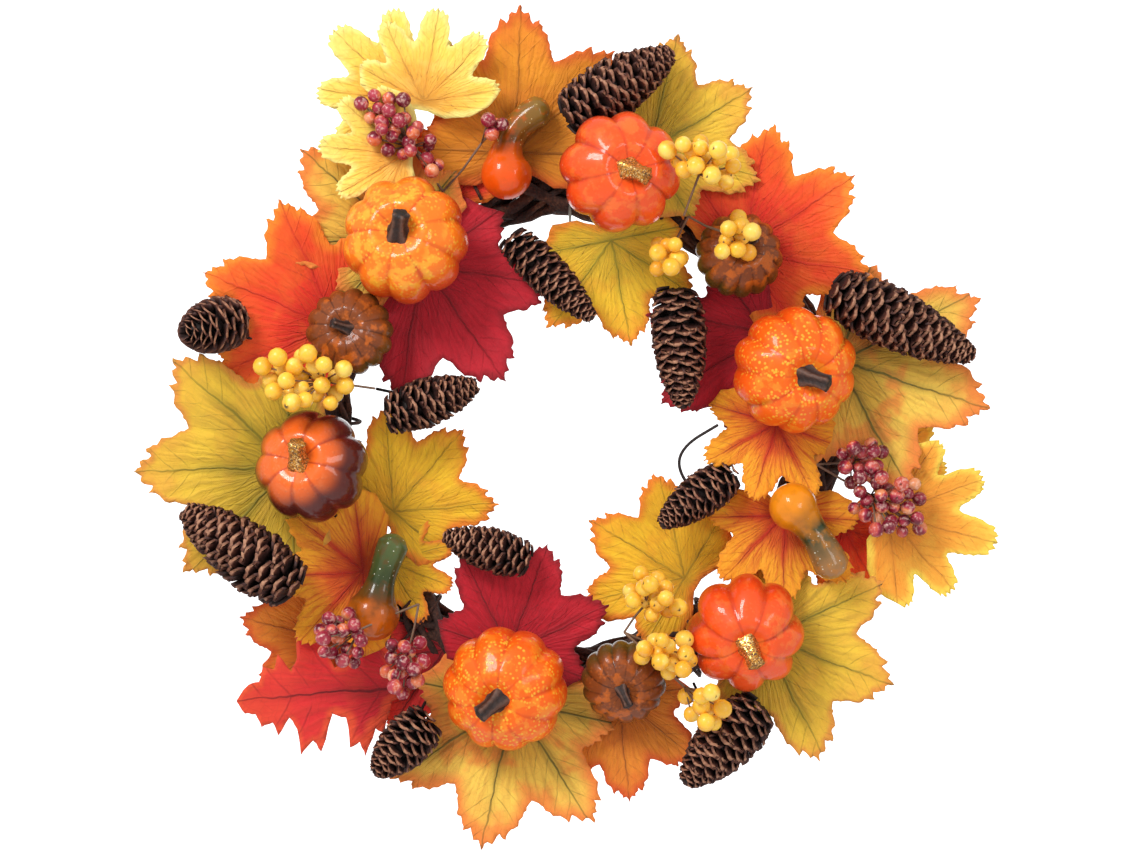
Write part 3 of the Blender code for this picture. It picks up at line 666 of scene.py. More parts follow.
@dataclass
class SilkLeaf:
    """One printed, die-cut silk leaf, placed by its packed plate or by clock angle."""

    name: str
    kind: LeafKind
    print_name: str
    heading: float
    stalk: float
    node: str | None = None
    place: tuple[float, float, float] = (0.0, 0.0, 0.0)
    length: float = 0.0
    pitch: float = 0.0
    roll: float = 0.0
    wide: float = 1.0
    curl: float = 4.0
    cup: float = 3.0
    ripple: float = 2.0
    seed: int = 1
    step: float = 0.0028

    def frame_of_plate(self) -> tuple[Matrix, float]:
        """Where the leaf's base is and which way it faces.

        Returns:
            A matrix with the base as its origin, and the blade's length.
        """
        if self.node is None:
            turn = facing(self.heading, self.pitch, self.roll)
            clock, offset, depth = self.place
            return Matrix.Translation(RING.spot(clock, offset, depth)) @ turn, self.length * MM
        mesh = frame["nodes"][self.node].data
        normal = Vector((0.0, 0.0, 0.0))
        for face in mesh.polygons:
            if face.normal.y < -0.5:
                normal += face.normal * face.area
        normal.normalize()
        along = heading_vector(self.heading)
        along = (along - normal * along.dot(normal)).normalized()
        across = along.cross(normal)
        reaches = [along.dot(vert.co) for vert in mesh.vertices]
        stalk_end = min(mesh.vertices, key=lambda vert: along.dot(vert.co)).co
        base = stalk_end + along * (self.stalk * MM)
        middle = [vert.co for vert in mesh.vertices if abs(along.dot(vert.co - stalk_end)) < 0.0004]
        base += across * (sum(across.dot(co - base) for co in middle) / len(middle))
        turn = Matrix((across, along, normal)).transposed().to_4x4()
        return Matrix.Translation(base) @ turn, max(reaches) - min(reaches) - self.stalk * MM

    def outline(self) -> list[tuple[float, float]]:
        """The cut edge in units of the blade's length, across and along from the base.

        Returns:
            The corners in order.
        """
        rng = random.Random(self.seed)
        if self.kind is LeafKind.RED_OAK:
            right = [(across, along) for along, across in RED_OAK_EDGE]
            left = [(-across * 0.9, along + 0.03) for across, along in reversed(right)]
            corners = right + [(0.0, 1.0)] + left
        else:
            corners = self._palmate(rng)
        corners = [(across * self.wide, along) for across, along in corners]
        return self._fray(corners, rng)

    def _palmate(self, rng: random.Random) -> list[tuple[float, float]]:
        """Corners of a cut whose lobes spread from the base.

        Args:
            rng: random draws.

        Returns:
            The corners in order.
        """
        cut = CUTS[self.kind]
        halves = []
        for sign in (1, -1):
            lobes = [(angle + (rng.uniform(-3, 3) if angle else 0), reach * rng.uniform(0.94, 1.05))
                     for angle, reach in cut.lobes]
            lobes[0] = (0.0, 1.0)
            half = []
            for (angle, reach), (after, far) in zip(lobes, lobes[1:]):
                gap = (after - angle) / 2
                low = cut.notch * (reach + far) / 2
                out = [(angle + gap * t, reach * r * (1 - t**3) + low * t**3) for t, r in cut.flank]
                back = [(after - gap * t, far * r * (1 - t**3) + low * t**3) for t, r in cut.flank]
                half += out + [(angle + gap, low)] + back[::-1][:-1]
            half.append(lobes[-1])
            half += [(angle, reach) for angle, reach in cut.heel]
            halves.append([(sign * reach * math.sin(math.radians(angle)),
                            reach * math.cos(math.radians(angle))) for angle, reach in half])
        return halves[0][::-1] + halves[1][1:]

    def _fray(self, corners: list[tuple[float, float]], rng: random.Random) -> list:
        """Bow the straight runs of the edge a little, so that it looks die cut and worn.

        Args:
            corners: the clean edge.
            rng: random draws.

        Returns:
            The edge with points between its corners.
        """
        fine = []
        wobble = 0.008 if self.kind is LeafKind.RED_OAK else CUTS[self.kind].wobble
        for index, (across, along) in enumerate(corners):
            fine.append((across, along))
            if index + 1 == len(corners):
                break
            ahead, up = corners[index + 1]
            run = math.hypot(ahead - across, up - along)
            if run < 0.05:
                continue
            for share in (0.33, 0.67):
                shift = rng.uniform(-wobble, wobble) * 0.7
                normal = ((up - along) / run, -(ahead - across) / run)
                fine.append((across + (ahead - across) * share + normal[0] * shift,
                             along + (up - along) * share + normal[1] * shift))
        return fine

    def vein_room(self, across: float, along: float) -> float:
        """Distance from the nearest main vein, in units of the blade's length.

        Args:
            across: distance across the leaf.
            along: distance along the leaf.

        Returns:
            The distance.
        """
        if self.kind is LeafKind.RED_OAK:
            return abs(across)
        gap = math.radians(CUTS[self.kind].vein_gap)
        turn = math.atan2(across, along)
        nearest = max(-2, min(2, round(turn / gap)))
        return abs(math.hypot(across, along) * math.sin(turn - nearest * gap))

    def lift(self, across: float, along: float, length: float) -> float:
        """How far the curled leaf stands forward of its plate at a point, in metres.

        Args:
            across: distance across, in blade lengths.
            along: distance along, in blade lengths.
            length: the blade's length in metres.

        Returns:
            The lift in metres.
        """
        reach = math.hypot(across, along)
        turn = math.atan2(across, along + 0.05)
        crease = math.exp(-(self.vein_room(across, along) / 0.045) ** 2)
        tip = self.curl * reach**2.2
        cup = self.cup * across * across
        wave = self.ripple * math.sin(turn * 5 + self.seed) * reach**2
        spot = Vector((across * 2.6, along * 2.6, self.seed * 3.7))
        rough = noise.noise(spot) * 3.2 * reach + noise.noise(spot * 3) * 0.8
        if self.kind is LeafKind.CURLED:
            rough += 1.3 * math.sin(turn * 17 + self.seed) * min(1.0, reach * 1.6)
        return (tip + cup + wave + rough - crease * 1.0) * MM * (length / 0.08)

    def build(self, solids: Crowd, leaves: Crowd) -> bpy.types.Object:
        """Cut, curl and press the leaf between its neighbours.

        Args:
            solids: the solid pieces.
            leaves: the leaves already laid behind this one.

        Returns:
            The finished piece.
        """
        place, length = self.frame_of_plate()
        edge = self.outline()
        shape = bmesh.new()
        corners = [shape.verts.new((across * length, along * length, 0.0)) for across,
                   along in edge]
        shape.faces.new(corners)
        flat_area = sum(face.calc_area() for face in shape.faces)
        low = [min(c[axis] for c in edge) * length for axis in (0, 1)]
        high = [max(c[axis] for c in edge) * length for axis in (0, 1)]
        for axis in (0, 1):
            normal = Vector((axis == 0, axis == 1, 0))
            for number in range(1, int((high[axis] - low[axis]) / self.step) + 1):
                point = normal * (low[axis] + self.step * number)
                geometry = shape.verts[:] + shape.edges[:] + shape.faces[:]
                bmesh.ops.bisect_plane(shape, geom=geometry, dist=1e-6, plane_co=point,
                                       plane_no=normal)
        bmesh.ops.remove_doubles(shape, verts=shape.verts, dist=0.0002)
        self._print_marks(shape, edge, length)
        self._press(shape, place, length, solids, leaves)
        piece = make_piece(self.name, shape, PRINTS[self.print_name].dress(self.kind))
        leaves.add(piece)
        wall = piece.modifiers.new("cloth", "SOLIDIFY")
        wall.thickness = 0.0004
        wall.offset = 0.0
        settle(piece, nodes=[self.node] if self.node else ())
        high[0] - low[0]
        high[1] - low[1]
        return piece

    def _print_marks(self, shape: bmesh.types.BMesh, edge: list, length: float) -> None:
        """Store the cloth's own coordinates and the distance from its cut edge.

        Args:
            shape: the flat blade.
            edge: its cut edge.
            length: the blade's length in metres.
        """
        layer = shape.loops.layers.uv.new("cloth")
        for face in shape.faces:
            for loop in face.loops:
                spot = loop.vert.co / length
                loop[layer].uv = (spot.x / 2 + 0.5, spot.y / 2 + 0.5)
        starts = np.array(edge)
        runs = np.roll(starts, -1, axis=0) - starts
        spans = np.maximum((runs**2).sum(1), 1e-12)
        rim = shape.verts.layers.float.new("rim")
        for vert in shape.verts:
            spot = np.array((vert.co.x, vert.co.y)) / length - starts
            share = np.clip((spot * runs).sum(1) / spans, 0, 1)
            gap = np.sqrt(((spot - runs * share[:, None]) ** 2).sum(1)).min()
            vert[rim] = min(1.0, gap / 0.16)

    def _press(self, shape: bmesh.types.BMesh, place: Matrix, length: float,
               solids: Crowd, leaves: Crowd) -> None:
        """Curl the blade and keep it between what lies behind and in front of it.

        Args:
            shape: the flat blade.
            place: the plate's matrix.
            length: the blade's length in metres.
            solids: the solid pieces.
            leaves: the leaves behind.
        """
        shape.verts.ensure_lookup_table()
        flat = [place @ vert.co for vert in shape.verts]
        wanted = [self.lift(v.co.x / length, v.co.y / length, length) for v in shape.verts]
        gap = 0.0006
        low = []
        high = []
        for point in flat:
            behind = min(solids.room(point, -FRONT), leaves.room(point, -FRONT)
                         if leaves.points else 1.0)
            ahead = solids.room(point, FRONT)
            door = DOOR_Y - point.y
            low.append(-max(0.0, min(behind, door) - gap))
            high.append(max(low[-1], ahead - gap))
        lifts = [min(max(want, lo), hi) for want, lo, hi in zip(wanted, low, high)]
        for _ in range(4):
            lifts = [
                (lifts[vert.index] + sum(lifts[e.other_vert(vert).index] for e in vert.link_edges))
                / (1 + len(vert.link_edges)) for vert in shape.verts
            ]
            lifts = [min(max(lift, lo), hi) for lift, lo, hi in zip(lifts, low, high)]
        for vert, point, lift in zip(shape.verts, flat, lifts):
            vert.co = point + FRONT * lift



@dataclass
class Vines:
    """The grapevine ring: long twigs wound round each other, with a few binding turns."""

    strands: int = 22
    turns: int = 5
    steps: int = 120

    def build(self) -> bpy.types.Object:
        """Wind the twigs.

        Returns:
            The finished piece.
        """
        rng = random.Random(7)
        shape = bmesh.new()
        for strand in range(self.strands):
            radius = rng.uniform(2.0, 4.2) * MM
            reach = RING.tube - radius - rng.uniform(0.0, 8.0) * MM
            start = 2 * math.pi * strand / self.strands
            turns = self.turns * rng.choice((-1, 1, 1)) + rng.choice((0, 0, 1))
            phase = rng.uniform(0, 9)
            points = []
            radii = []
            for step in range(self.steps):
                around = 2 * math.pi * step / (self.steps - 1) * 0.995 + start
                twist = start * 3 + turns * around + 0.35 * math.sin(3 * around + phase)
                out = reach * (1 + 0.10 * math.sin(5 * around + phase))
                radial = heading_vector(math.degrees(around))
                back = min(-math.cos(twist) * out, RING_BACK - radius)
                point = RING.centre + radial * (RING.radius + math.sin(twist) * out)
                point.y = RING.centre.y + back
                points.append(point)
                radii.append(radius * (0.85 + 0.2 * math.sin(2.3 * step + phase)
                                       + 0.25 * (step % 17 == 0)))
            sweep(shape, points, radii, 6)
        for band in range(9):
            self._bind(shape, rng, 20 + band * 40 + rng.uniform(-12, 12))
        piece = make_piece("grapevine", shape, self.bark())
        settle(piece, nodes=["vine_ring"])
        return piece

    @staticmethod
    def _bind(shape: bmesh.types.BMesh, rng: random.Random, clock: float) -> None:
        """Wind a thin tendril round the bundle.

        Args:
            shape: the ring's mesh.
            rng: random draws.
            clock: where the tendril is, in degrees.
        """
        points = []
        for step in range(34):
            twist = 2 * math.pi * step / 14
            centre = RING.spot(clock + step * 0.35, 0.0, RING.centre.y)
            out = RING.tube - 0.4 * MM
            point = centre + heading_vector(clock) * (math.sin(twist) * out)
            point.y = RING.centre.y + min(-math.cos(twist) * out, RING_BACK - 0.0012)
            points.append(point)
        sweep(shape, points, [rng.uniform(0.9, 1.3) * MM] * len(points), 5)

    @staticmethod
    def bark() -> bpy.types.Material:
        """Dark stringy bark.

        Returns:
            The material.
        """
        shader = Shader("bark", Roughness=0.85)
        long = shader.noise(90, 5)
        fine = shader.noise(650, 3)
        color = shader.ramp(long * 0.6 + fine * 0.4, [
            (0.30, ink("1C0F0C")), (0.48, ink("3A211A")), (0.60, ink("5A3626")),
            (0.75, ink("8A6248"))])
        shader.feed("Base Color", color)
        shader.bump(long + fine, 0.0009)
        return shader.material



@dataclass(frozen=True)
class PumpkinSkin:
    """Paint of a foam pumpkin, with painted light on its front and painted shade on its back, sides
    and grooves.
    """

    name: str
    # crown: the lighter colour on the front round the stem, painted light.
    crown: Color
    side: Color
    # groove: the darker colour of the painted shade in the grooves.
    groove: Color
    fleck: Color
    flecks: float
    patches: float
    # rim and its share and reach: painted shade darkening the back and sides.
    rim: Color
    rim_shade_share: float
    coat: float = 0.9
    rim_shade_top: float = 0.42

    def dress(self) -> bpy.types.Material:
        """Glossy paint with flecks, with painted shade in the grooves and towards the back and
        sides, and painted light on the front round the stem.

        Returns:
            The material.
        """
        shader = Shader(self.name, Roughness=0.42, Coat_Weight=self.coat, Coat_Roughness=0.09,
                        Specular_IOR_Level=0.18, Coat_IOR=1.38)
        groove = shader.attribute("groove")
        height = shader.attribute("height")
        cloud = shader.noise(38, 4)
        soft = shader.noise(75, 3)
        # Painted light: the front round the stem is lighter than the sides.
        color = shader.mix(shader.rise(height + (cloud - 0.5) * 0.5, -0.2, 0.75), self.side,
                           self.crown)
        # Painted shade: darker colour in the grooves between the ribs.
        color = shader.mix(shader.rise(groove + (soft - 0.5) * 0.35, 0.45, 1.0) * 0.75, color,
                           self.groove)
        dots = shader.cells(430)
        specks = (1 - shader.rise(dots, 0.20, 0.46)) * shader.rise(shader.noise(120, 2), 0.36, 0.54)
        color = shader.mix(specks * self.flecks, color, self.fleck)
        patch = shader.rise(shader.noise(150, 5), 0.50, 0.60) * shader.rise(cloud, 0.36, 0.56)
        color = shader.mix(patch * self.patches, color, self.fleck)
        # Painted shade: darker towards the back and sides, away from the front.
        uneven = (shader.noise(22, 2) - 0.5) * 0.5
        rim = 1 - shader.rise(height + uneven, self.rim_shade_top - 0.45, self.rim_shade_top)
        color = shader.mix(rim * self.rim_shade_share, color, self.rim)
        shader.feed("Base Color", color)
        shader.bump(soft + specks * 0.4, 0.0007, 0.6)
        shader.bump(shader.noise(900, 2), 0.00008, 0.5)
        return shader.material


SKINS = {
    "blotched": PumpkinSkin("blotched_pumpkin", ink("FB7C1A"), ink("F05A10"), ink("CC3E0A"),
                            ink("FFC43A"), 0.55, 0.5, ink("D8460F"), 0.85, 0.7, 0.6),
    "plain": PumpkinSkin("plain_pumpkin", ink("F4541A"), ink("E63C0A"), ink("A81E08"),
                         ink("FA8A3A"), 0.1, 0.35, ink("B82A0A"), 0.5, 0.8),
    "speckled": PumpkinSkin("speckled_pumpkin", ink("FA660F"), ink("F0500A"), ink("CC3A08"),
                            ink("FFC23A"), 0.75, 0.25, ink("D8440C"), 0.5, 0.5),
    # Painted shade covers all but the very front of this pumpkin.
    "heavily_shaded": PumpkinSkin("heavily_shaded_pumpkin", ink("F0681E"), ink("E04A12"), ink("9A1C0A"),
                            ink("F9A06A"), 0.1, 0.1, ink("42080C"), 0.95, 1.0, 0.97),
    "brown": PumpkinSkin("brown_pumpkin", ink("80401A"), ink("6A3410"), ink("2A120A"),
                         ink("C8641A"), 0.25, 0.75, ink("4E4414"), 0.7, 0.45, 0.6),
}


@dataclass
class Pumpkin:
    """A foam pumpkin with ribs, dimples and a stem."""

    name: str
    node: str
    width: float
    lobes: int
    lean: float
    heading: float
    skin: str
    flat: float = 0.82
    depth: float = 0.17
    seed: int = 1

    def axis_turn(self) -> Matrix:
        """Turn that carries +Z to the pumpkin's axis."""
        return facing(self.heading) @ Matrix.Rotation(math.radians(-self.lean), 4, "X")

    def middle(self) -> Vector:
        """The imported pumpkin's middle, from its back face and its box.

        Returns:
            The point.
        """
        low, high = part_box(self.node)
        reach = self.width / 2 * MM * self.flat
        centre = (low + high) / 2
        lean = math.radians(self.lean)
        back = math.hypot(reach * 0.93 * math.cos(lean), self.width / 2 * MM * math.sin(lean))
        centre.y = high.y - back
        return centre

    def build(self) -> bpy.types.Object:
        """Shape the body.

        Returns:
            The finished piece.
        """
        radius = self.width / 2 * MM
        shape = bmesh.new()
        bmesh.ops.create_uvsphere(shape, u_segments=self.lobes * 12, v_segments=44, radius=1.0)
        groove_of = {}
        height_of = []
        for vert in shape.verts:
            around = math.atan2(vert.co.y, vert.co.x)
            reach = min(1.0, math.hypot(vert.co.x, vert.co.y))
            phase = around * self.lobes / 2 + 0.12 * math.sin(around * 3 + self.seed)
            bulge = abs(math.cos(phase)) ** 0.7
            spot = Vector((math.cos(around), math.sin(around), self.seed))
            uneven = 1 + 0.03 * noise.noise(spot * 1.7)
            grooved = 1 - self.depth * (1 - bulge) * min(1, reach * 1.8)
            width = radius * grooved * reach**0.80 * uneven
            dimple = 0.20 * math.exp(-(reach / 0.27) ** 2)
            crown = 0.05 * bulge * math.exp(-((reach - 0.55) / 0.25) ** 2)
            tall = vert.co.z - math.copysign(dimple - crown, vert.co.z)
            groove_of[vert] = 1 - bulge
            height_of.append(vert.co.z)
            vert.co = (width * math.cos(around), width * math.sin(around), radius * self.flat
                       * tall)
        # The groove and height marks carry the painted shade in the grooves and on the sides, and
        # the painted light on the front.
        paint(shape, "groove", groove_of)
        paint(shape, "height", {vert: height_of[vert.index] for vert in shape.verts})
        bmesh.ops.transform(
            shape, matrix=Matrix.Translation(self.middle()) @ self.axis_turn(), verts=shape.verts)
        piece = make_piece(self.name, shape, SKINS[self.skin].dress())
        slot = "brown_pumpkin_skin" if self.skin == "brown" else "pumpkin_skin"
        settle(piece, nodes=[self.node])
        return piece


class StemFinish(Enum):
    """Ways that the pumpkins' stems are finished."""

    BARK = "bark"
    GLITTER = "glitter"


@dataclass
class Stem:
    """A bent pumpkin stem."""

    name: str
    pumpkin: Pumpkin
    bend: float
    finish: StemFinish
    node: str | None = None
    length: float = 15.0
    radius: float = 4.7

    def build(self) -> bpy.types.Object:
        """Sweep a ribbed, bending stem up from the dimple.

        Returns:
            The finished piece.
        """
        turn = self.pumpkin.axis_turn()
        axis = (turn.to_3x3() @ Vector((0.0, 0.0, 1.0))).normalized()
        aside = heading_vector(self.bend)
        aside = (aside - axis * aside.dot(axis)).normalized()
        half = self.pumpkin.width / 2 * MM * self.pumpkin.flat
        foot = self.pumpkin.middle() + axis * half * 0.76
        points = []
        radii = []
        steps = 22
        for step in range(steps + 1):
            share = step / steps
            lean = 0.60 * share**1.5
            points.append(foot + (axis * (share * 0.80) + aside * lean) * self.length * MM)
            flare = 1.0 * math.exp(-share * 4) + 0.78 + 0.26 * share**4
            if step == steps:
                flare *= 0.7
            radii.append(self.radius * MM * flare)
        shape = bmesh.new()
        rings = sweep(shape, points, radii, 20)
        ridge = {}
        for index, ring in enumerate(rings):
            for number, vert in enumerate(ring):
                rib = math.cos(2 * math.pi * number / 20 * 5 + index * 0.07)
                push = 1 + 0.13 * rib
                if self.finish is StemFinish.GLITTER:
                    push += 0.10 * noise.noise(vert.co * 900)
                vert.co = points[index] + (vert.co - points[index]) * push
                ridge[vert] = rib * 0.5 + 0.5
        paint(shape, "ridge", ridge)
        material = self.glitter() if self.finish is StemFinish.GLITTER else self.bark()
        piece = make_piece(self.name, shape, material)
        settle(piece, nodes=[self.node] if self.node else ())
        return piece

    @staticmethod
    def glitter() -> bpy.types.Material:
        """Coarse gold glitter over brown.

        Returns:
            The material.
        """
        shader = Shader("gold_glitter")
        flakes = shader.cells(1500, "Color")
        tone = shader.node("ShaderNodeSeparateColor", {}, {0: flakes}, 0)
        color = shader.ramp(tone, [(0.0, ink("4A2A10")), (0.35, ink("A86A20")),
                                   (0.7, ink("E0A040")),
                                   (1.0, ink("FFE0A0"))])
        shader.feed("Base Color", color)
        shader.feed("Metallic", shader.rise(tone, 0.2, 0.6) * 0.8)
        shader.feed("Roughness", 0.55 - 0.3 * tone)
        shader.bump(tone, 0.0006)
        return shader.material

    @staticmethod
    def bark() -> bpy.types.Material:
        """Dark brown stem with paler ridges.

        Returns:
            The material.
        """
        shader = Shader("stem_bark", Roughness=0.6)
        ridge = shader.attribute("ridge")
        grain = shader.noise(480, 4)
        color = shader.ramp(ridge * 0.55 + grain * 0.5, [
            (0.2, ink("140A08")), (0.5, ink("33201A")), (0.85, ink("6A4A3C"))])
        shader.feed("Base Color", color)
        shader.bump(grain + ridge, 0.0006)
        return shader.material


@dataclass(frozen=True)
class GourdSkin:
    """Paint of a gourd from bulb to neck end."""

    name: str
    bulb: Color
    waist: Color
    neck: Color
    end: Color
    fleck: Color
    flecks: float

    def dress(self) -> bpy.types.Material:
        """Wet-looking paint that changes along the gourd.

        Returns:
            The material.
        """
        shader = Shader(self.name, Roughness=0.36, Coat_Weight=0.8, Coat_Roughness=0.05,
                        Coat_IOR=1.4,
                        Specular_IOR_Level=0.15)
        run = shader.attribute("run")
        cloud = shader.noise(110, 4)
        share = run + (cloud - 0.5) * 0.28
        color = shader.ramp(share, [(0.20, self.bulb), (0.36, self.waist), (0.52, self.neck),
                                    (0.97, self.end)])
        stain = shader.rise(shader.noise(190, 3), 0.5, 0.68)
        color = shader.mix(stain * 0.45, color, self.waist)
        dots = (1 - shader.rise(shader.cells(430), 0.10, 0.22)) * shader.rise(run, 0.3, 0.6)
        gate = shader.rise(shader.noise(260, 1), 0.50, 0.58)
        color = shader.mix(dots * gate * self.flecks, color, self.fleck)
        shader.feed("Base Color", color)
        shader.bump(cloud, 0.0006, 0.6)
        return shader.material


@dataclass
class Gourd:
    """A small gourd with a bent neck."""

    name: str
    node: str
    clock: float
    offset: float
    heading: float
    bulb: float
    neck: float
    length: float
    crook: float
    skin: GourdSkin

    def build(self) -> bpy.types.Object:
        """Sweep the bulb and neck.

        Returns:
            The finished piece.
        """
        low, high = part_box(self.node)
        centre = RING.spot(self.clock, self.offset, (low.y + high.y) / 2)
        bulb, neck, length = self.bulb * MM, self.neck * MM, self.length * MM
        points = []
        radii = []
        for step in range(15):
            angle = math.pi * (0.97 - 0.62 * step / 14)
            points.append(centre + heading_vector(self.heading) * (math.cos(angle) * bulb))
            radii.append(max(0.06, math.sin(angle)) * bulb)
        here = points[-1].copy()
        start = math.cos(math.pi * 0.35) * bulb
        steps = 26
        for step in range(1, steps + 1):
            share = step / steps
            stride = (length - start) / steps
            here = here + heading_vector(self.heading + self.crook * share) * stride
            points.append(here.copy())
            flare = 0.0012 * math.sin(share * 4.5 + 3.6)
            radii.append(neck + (radii[14] - neck) * (1 - share) ** 3 + flare)
        for share in (0.35, 0.62, 0.85, 1.0):
            ahead = heading_vector(self.heading + self.crook) * (neck * 0.75 * share)
            points.append(here + ahead)
            radii.append(neck * math.sqrt(max(0.02, 1 - share**2.2)))
        shape = bmesh.new()
        rings = sweep(shape, points, radii, 28)
        run_of = {vert: index / (len(rings) - 1) for index, ring in enumerate(rings)
                  for vert in ring}
        for index, ring in enumerate(rings):
            for number, vert in enumerate(ring):
                rib = 1 + 0.025 * math.cos(2 * math.pi * number / 28 * 7)
                vert.co = points[index] + (vert.co - points[index]) * rib
        paint(shape, "run", run_of)
        piece = make_piece(self.name, shape, self.skin.dress())
        settle(piece, nodes=[self.node])
        return piece


@dataclass
class PineCone:
    """A pine cone with spiralled scales."""

    name: str
    clock: float
    offset: float
    heading: float
    pitch: float
    length: float
    width: float
    wire: float = 0.0
    body: str = BODY
    splay: float = 1.0

    def middle(self) -> Vector:
        """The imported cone's middle.

        Returns:
            The point.
        """
        low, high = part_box(self.name)
        depth = (low.y + high.y) / 2
        return RING.spot(self.clock, self.offset, depth)

    def reach(self, share: float) -> float:
        """The cone's radius at a share of its length from base to tip, in metres."""
        return self.width / 2 * MM * math.sin(math.pi * (0.20 + 0.72 * share)) ** 0.75

    def build(self) -> bpy.types.Object:
        """Set the scales on a core.

        Returns:
            The finished piece.
        """
        rng = random.Random(int(self.clock * 7 + self.length))
        shape = bmesh.new()
        length = self.length * MM
        count = int(1.9 * self.length + 26)
        edge = shape.verts.layers.float.new("edge")
        points = [Vector((0, 0, length * (share - 0.5))) for share in (0.03, 0.2, 0.5, 0.8, 0.96)]
        radii = [self.reach(0.03) * 0.4, self.reach(0.2) * 0.5, self.reach(0.5) * 0.5,
                 self.reach(0.8) * 0.45, 0.0012]
        sweep(shape, points, radii, 10)
        for number in range(count):
            share = ((number + 0.5) / count) ** 0.92
            around = number * math.radians(137.508)
            self._scale(shape, share, around, rng, edge)
        place = Matrix.Translation(self.middle()) @ facing(self.heading, self.pitch)
        place = place @ Matrix.Rotation(-math.pi / 2, 4, "X")
        bmesh.ops.transform(shape, matrix=place, verts=shape.verts)
        if self.wire:
            way = math.copysign(self.wire * MM, self.offset)
            inner = self.middle() - heading_vector(self.clock) * way
            inner.y = RING.centre.y - 0.008
            sweep(shape, [self.middle(), inner], [0.0009, 0.0009], 6)
        if self.body != BODY:
            line = self.wire_line()
            sweep(shape, line, [0.0009] * len(line), 6)
        piece = make_piece(self.name + "_scales", shape, self.husk())
        settle(piece, self.body, [self.name])
        return piece

    def wire_line(self) -> list[Vector]:
        """Middle line of the bent wire from the hinge, round its knee, to the cone.

        Returns:
            Its points, from the hinge.
        """
        root = hinge_of(self.body)[0]
        middle = self.middle()
        knee = middle + heading_vector(self.heading - 90) * ((self.width / 2 + 6) * MM)
        sway = root.lerp(knee, 0.55) + Vector((-0.006, 0.0, 0.002))
        line = [root, sway, knee, middle]
        for _ in range(3):
            cut = [line[0]]
            for first, second in zip(line, line[1:]):
                cut += [first.lerp(second, 0.25), first.lerp(second, 0.75)]
            line = [*cut, line[-1]]
        return line

    def guard(self) -> bpy.types.Mesh:
        """The wire's near surroundings, which the leaves keep behind.

        Returns:
            A mesh that is not shown.
        """
        shape = bmesh.new()
        line = self.wire_line()
        for across in (-3, 0, 3):
            shift = Vector((across * MM, 0, 0))
            sweep(shape, [point + shift for point in line], [0.0016] * len(line), 6)
        mesh = bpy.data.meshes.new("guard")
        shape.to_mesh(mesh)
        shape.free()
        return mesh

    def _scale(self, shape: bmesh.types.BMesh, share: float, around: float, rng: random.Random,
               edge: bmesh.types.BMLayerItem) -> None:
        """Add one curved, thickened scale with a raised tip.

        Args:
            shape: the cone's mesh.
            share: place from base to tip, 0 to 1.
            around: angle in radians.
            rng: random draws.
            edge: the layer for the tips, which carries painted shade at the roots and a partly
                painted highlight at the tips.
        """
        reach = self.reach(share)
        size = reach * rng.uniform(0.47, 0.56) + 0.0011
        tilt = math.radians(52 - 40 * (1 - share) * self.splay + rng.uniform(-6, 6))
        rows = ((0.30, 0.35, 0.0), (0.70, 0.95, 0.02), (0.92, 1.0, 0.07), (1.0, 0.55, 0.10))
        made = bmesh.ops.create_grid(shape, x_segments=3, y_segments=3, size=1.0)["verts"]
        made.sort(key=lambda vert: (round(vert.co.y, 3), vert.co.x))
        low = self.length * MM * (share - 0.5) - reach * 0.25
        turn = Matrix.Rotation(around, 4, "Z")
        climb = Vector((math.cos(tilt), 0.0, math.sin(tilt)))
        up = Vector((-math.sin(tilt), 0.0, math.cos(tilt)))
        for index, vert in enumerate(made):
            row, column = divmod(index, 4)
            out, width, lift = rows[row]
            side = (column - 1.5) / 1.5
            point = climb * (out * reach * (1 - 0.12 * side * side * (row == 3)))
            point += Vector((0.0, side * width * size * 0.56, 0.0))
            point += up * ((lift - 0.10 * side * side) * size)
            vert.co = turn @ (point + Vector((0.0, 0.0, low)))
            # Edge mark: painted shade at the root row, rising to the tip row's paler colour, which
            # is partly a painted highlight.
            vert[edge] = (0.0, 0.2, 0.65, 1.0)[row]
        faces = list({face for vert in made for face in vert.link_faces})
        bmesh.ops.solidify(shape, geom=faces, thickness=size * 0.16)

    @staticmethod
    def husk() -> bpy.types.Material:
        """Brown woody scales with painted shade at their roots, paler at their tips, partly their
        own colour and partly a painted highlight.

        Returns:
            The material.
        """
        shader = Shader("cone_husk", Roughness=0.62)
        edge = shader.attribute("edge")
        grain = shader.noise(420, 4)
        broad = shader.noise(60, 2)
        # Dark roots are painted shade between the scales; pale tips are partly real colour and
        # partly painted highlight.
        color = shader.ramp(edge * 0.72 + (grain - 0.5) * 0.45 + (broad - 0.5) * 0.25, [
            (0.06, ink("1C0B07")), (0.36, ink("42201A")), (0.62, ink("74422E")),
            (0.82, ink("C08C6C"))])
        shader.feed("Base Color", color)
        shader.feed("Roughness", 0.5 + 0.3 * grain)
        shader.bump(grain, 0.0004)
        return shader.material


@dataclass(frozen=True)
class Cluster:
    """One bunch of a spray, set out from the spray's root."""

    heading: float
    reach: float
    rise: float
    long: float
    wide: float
    count: int


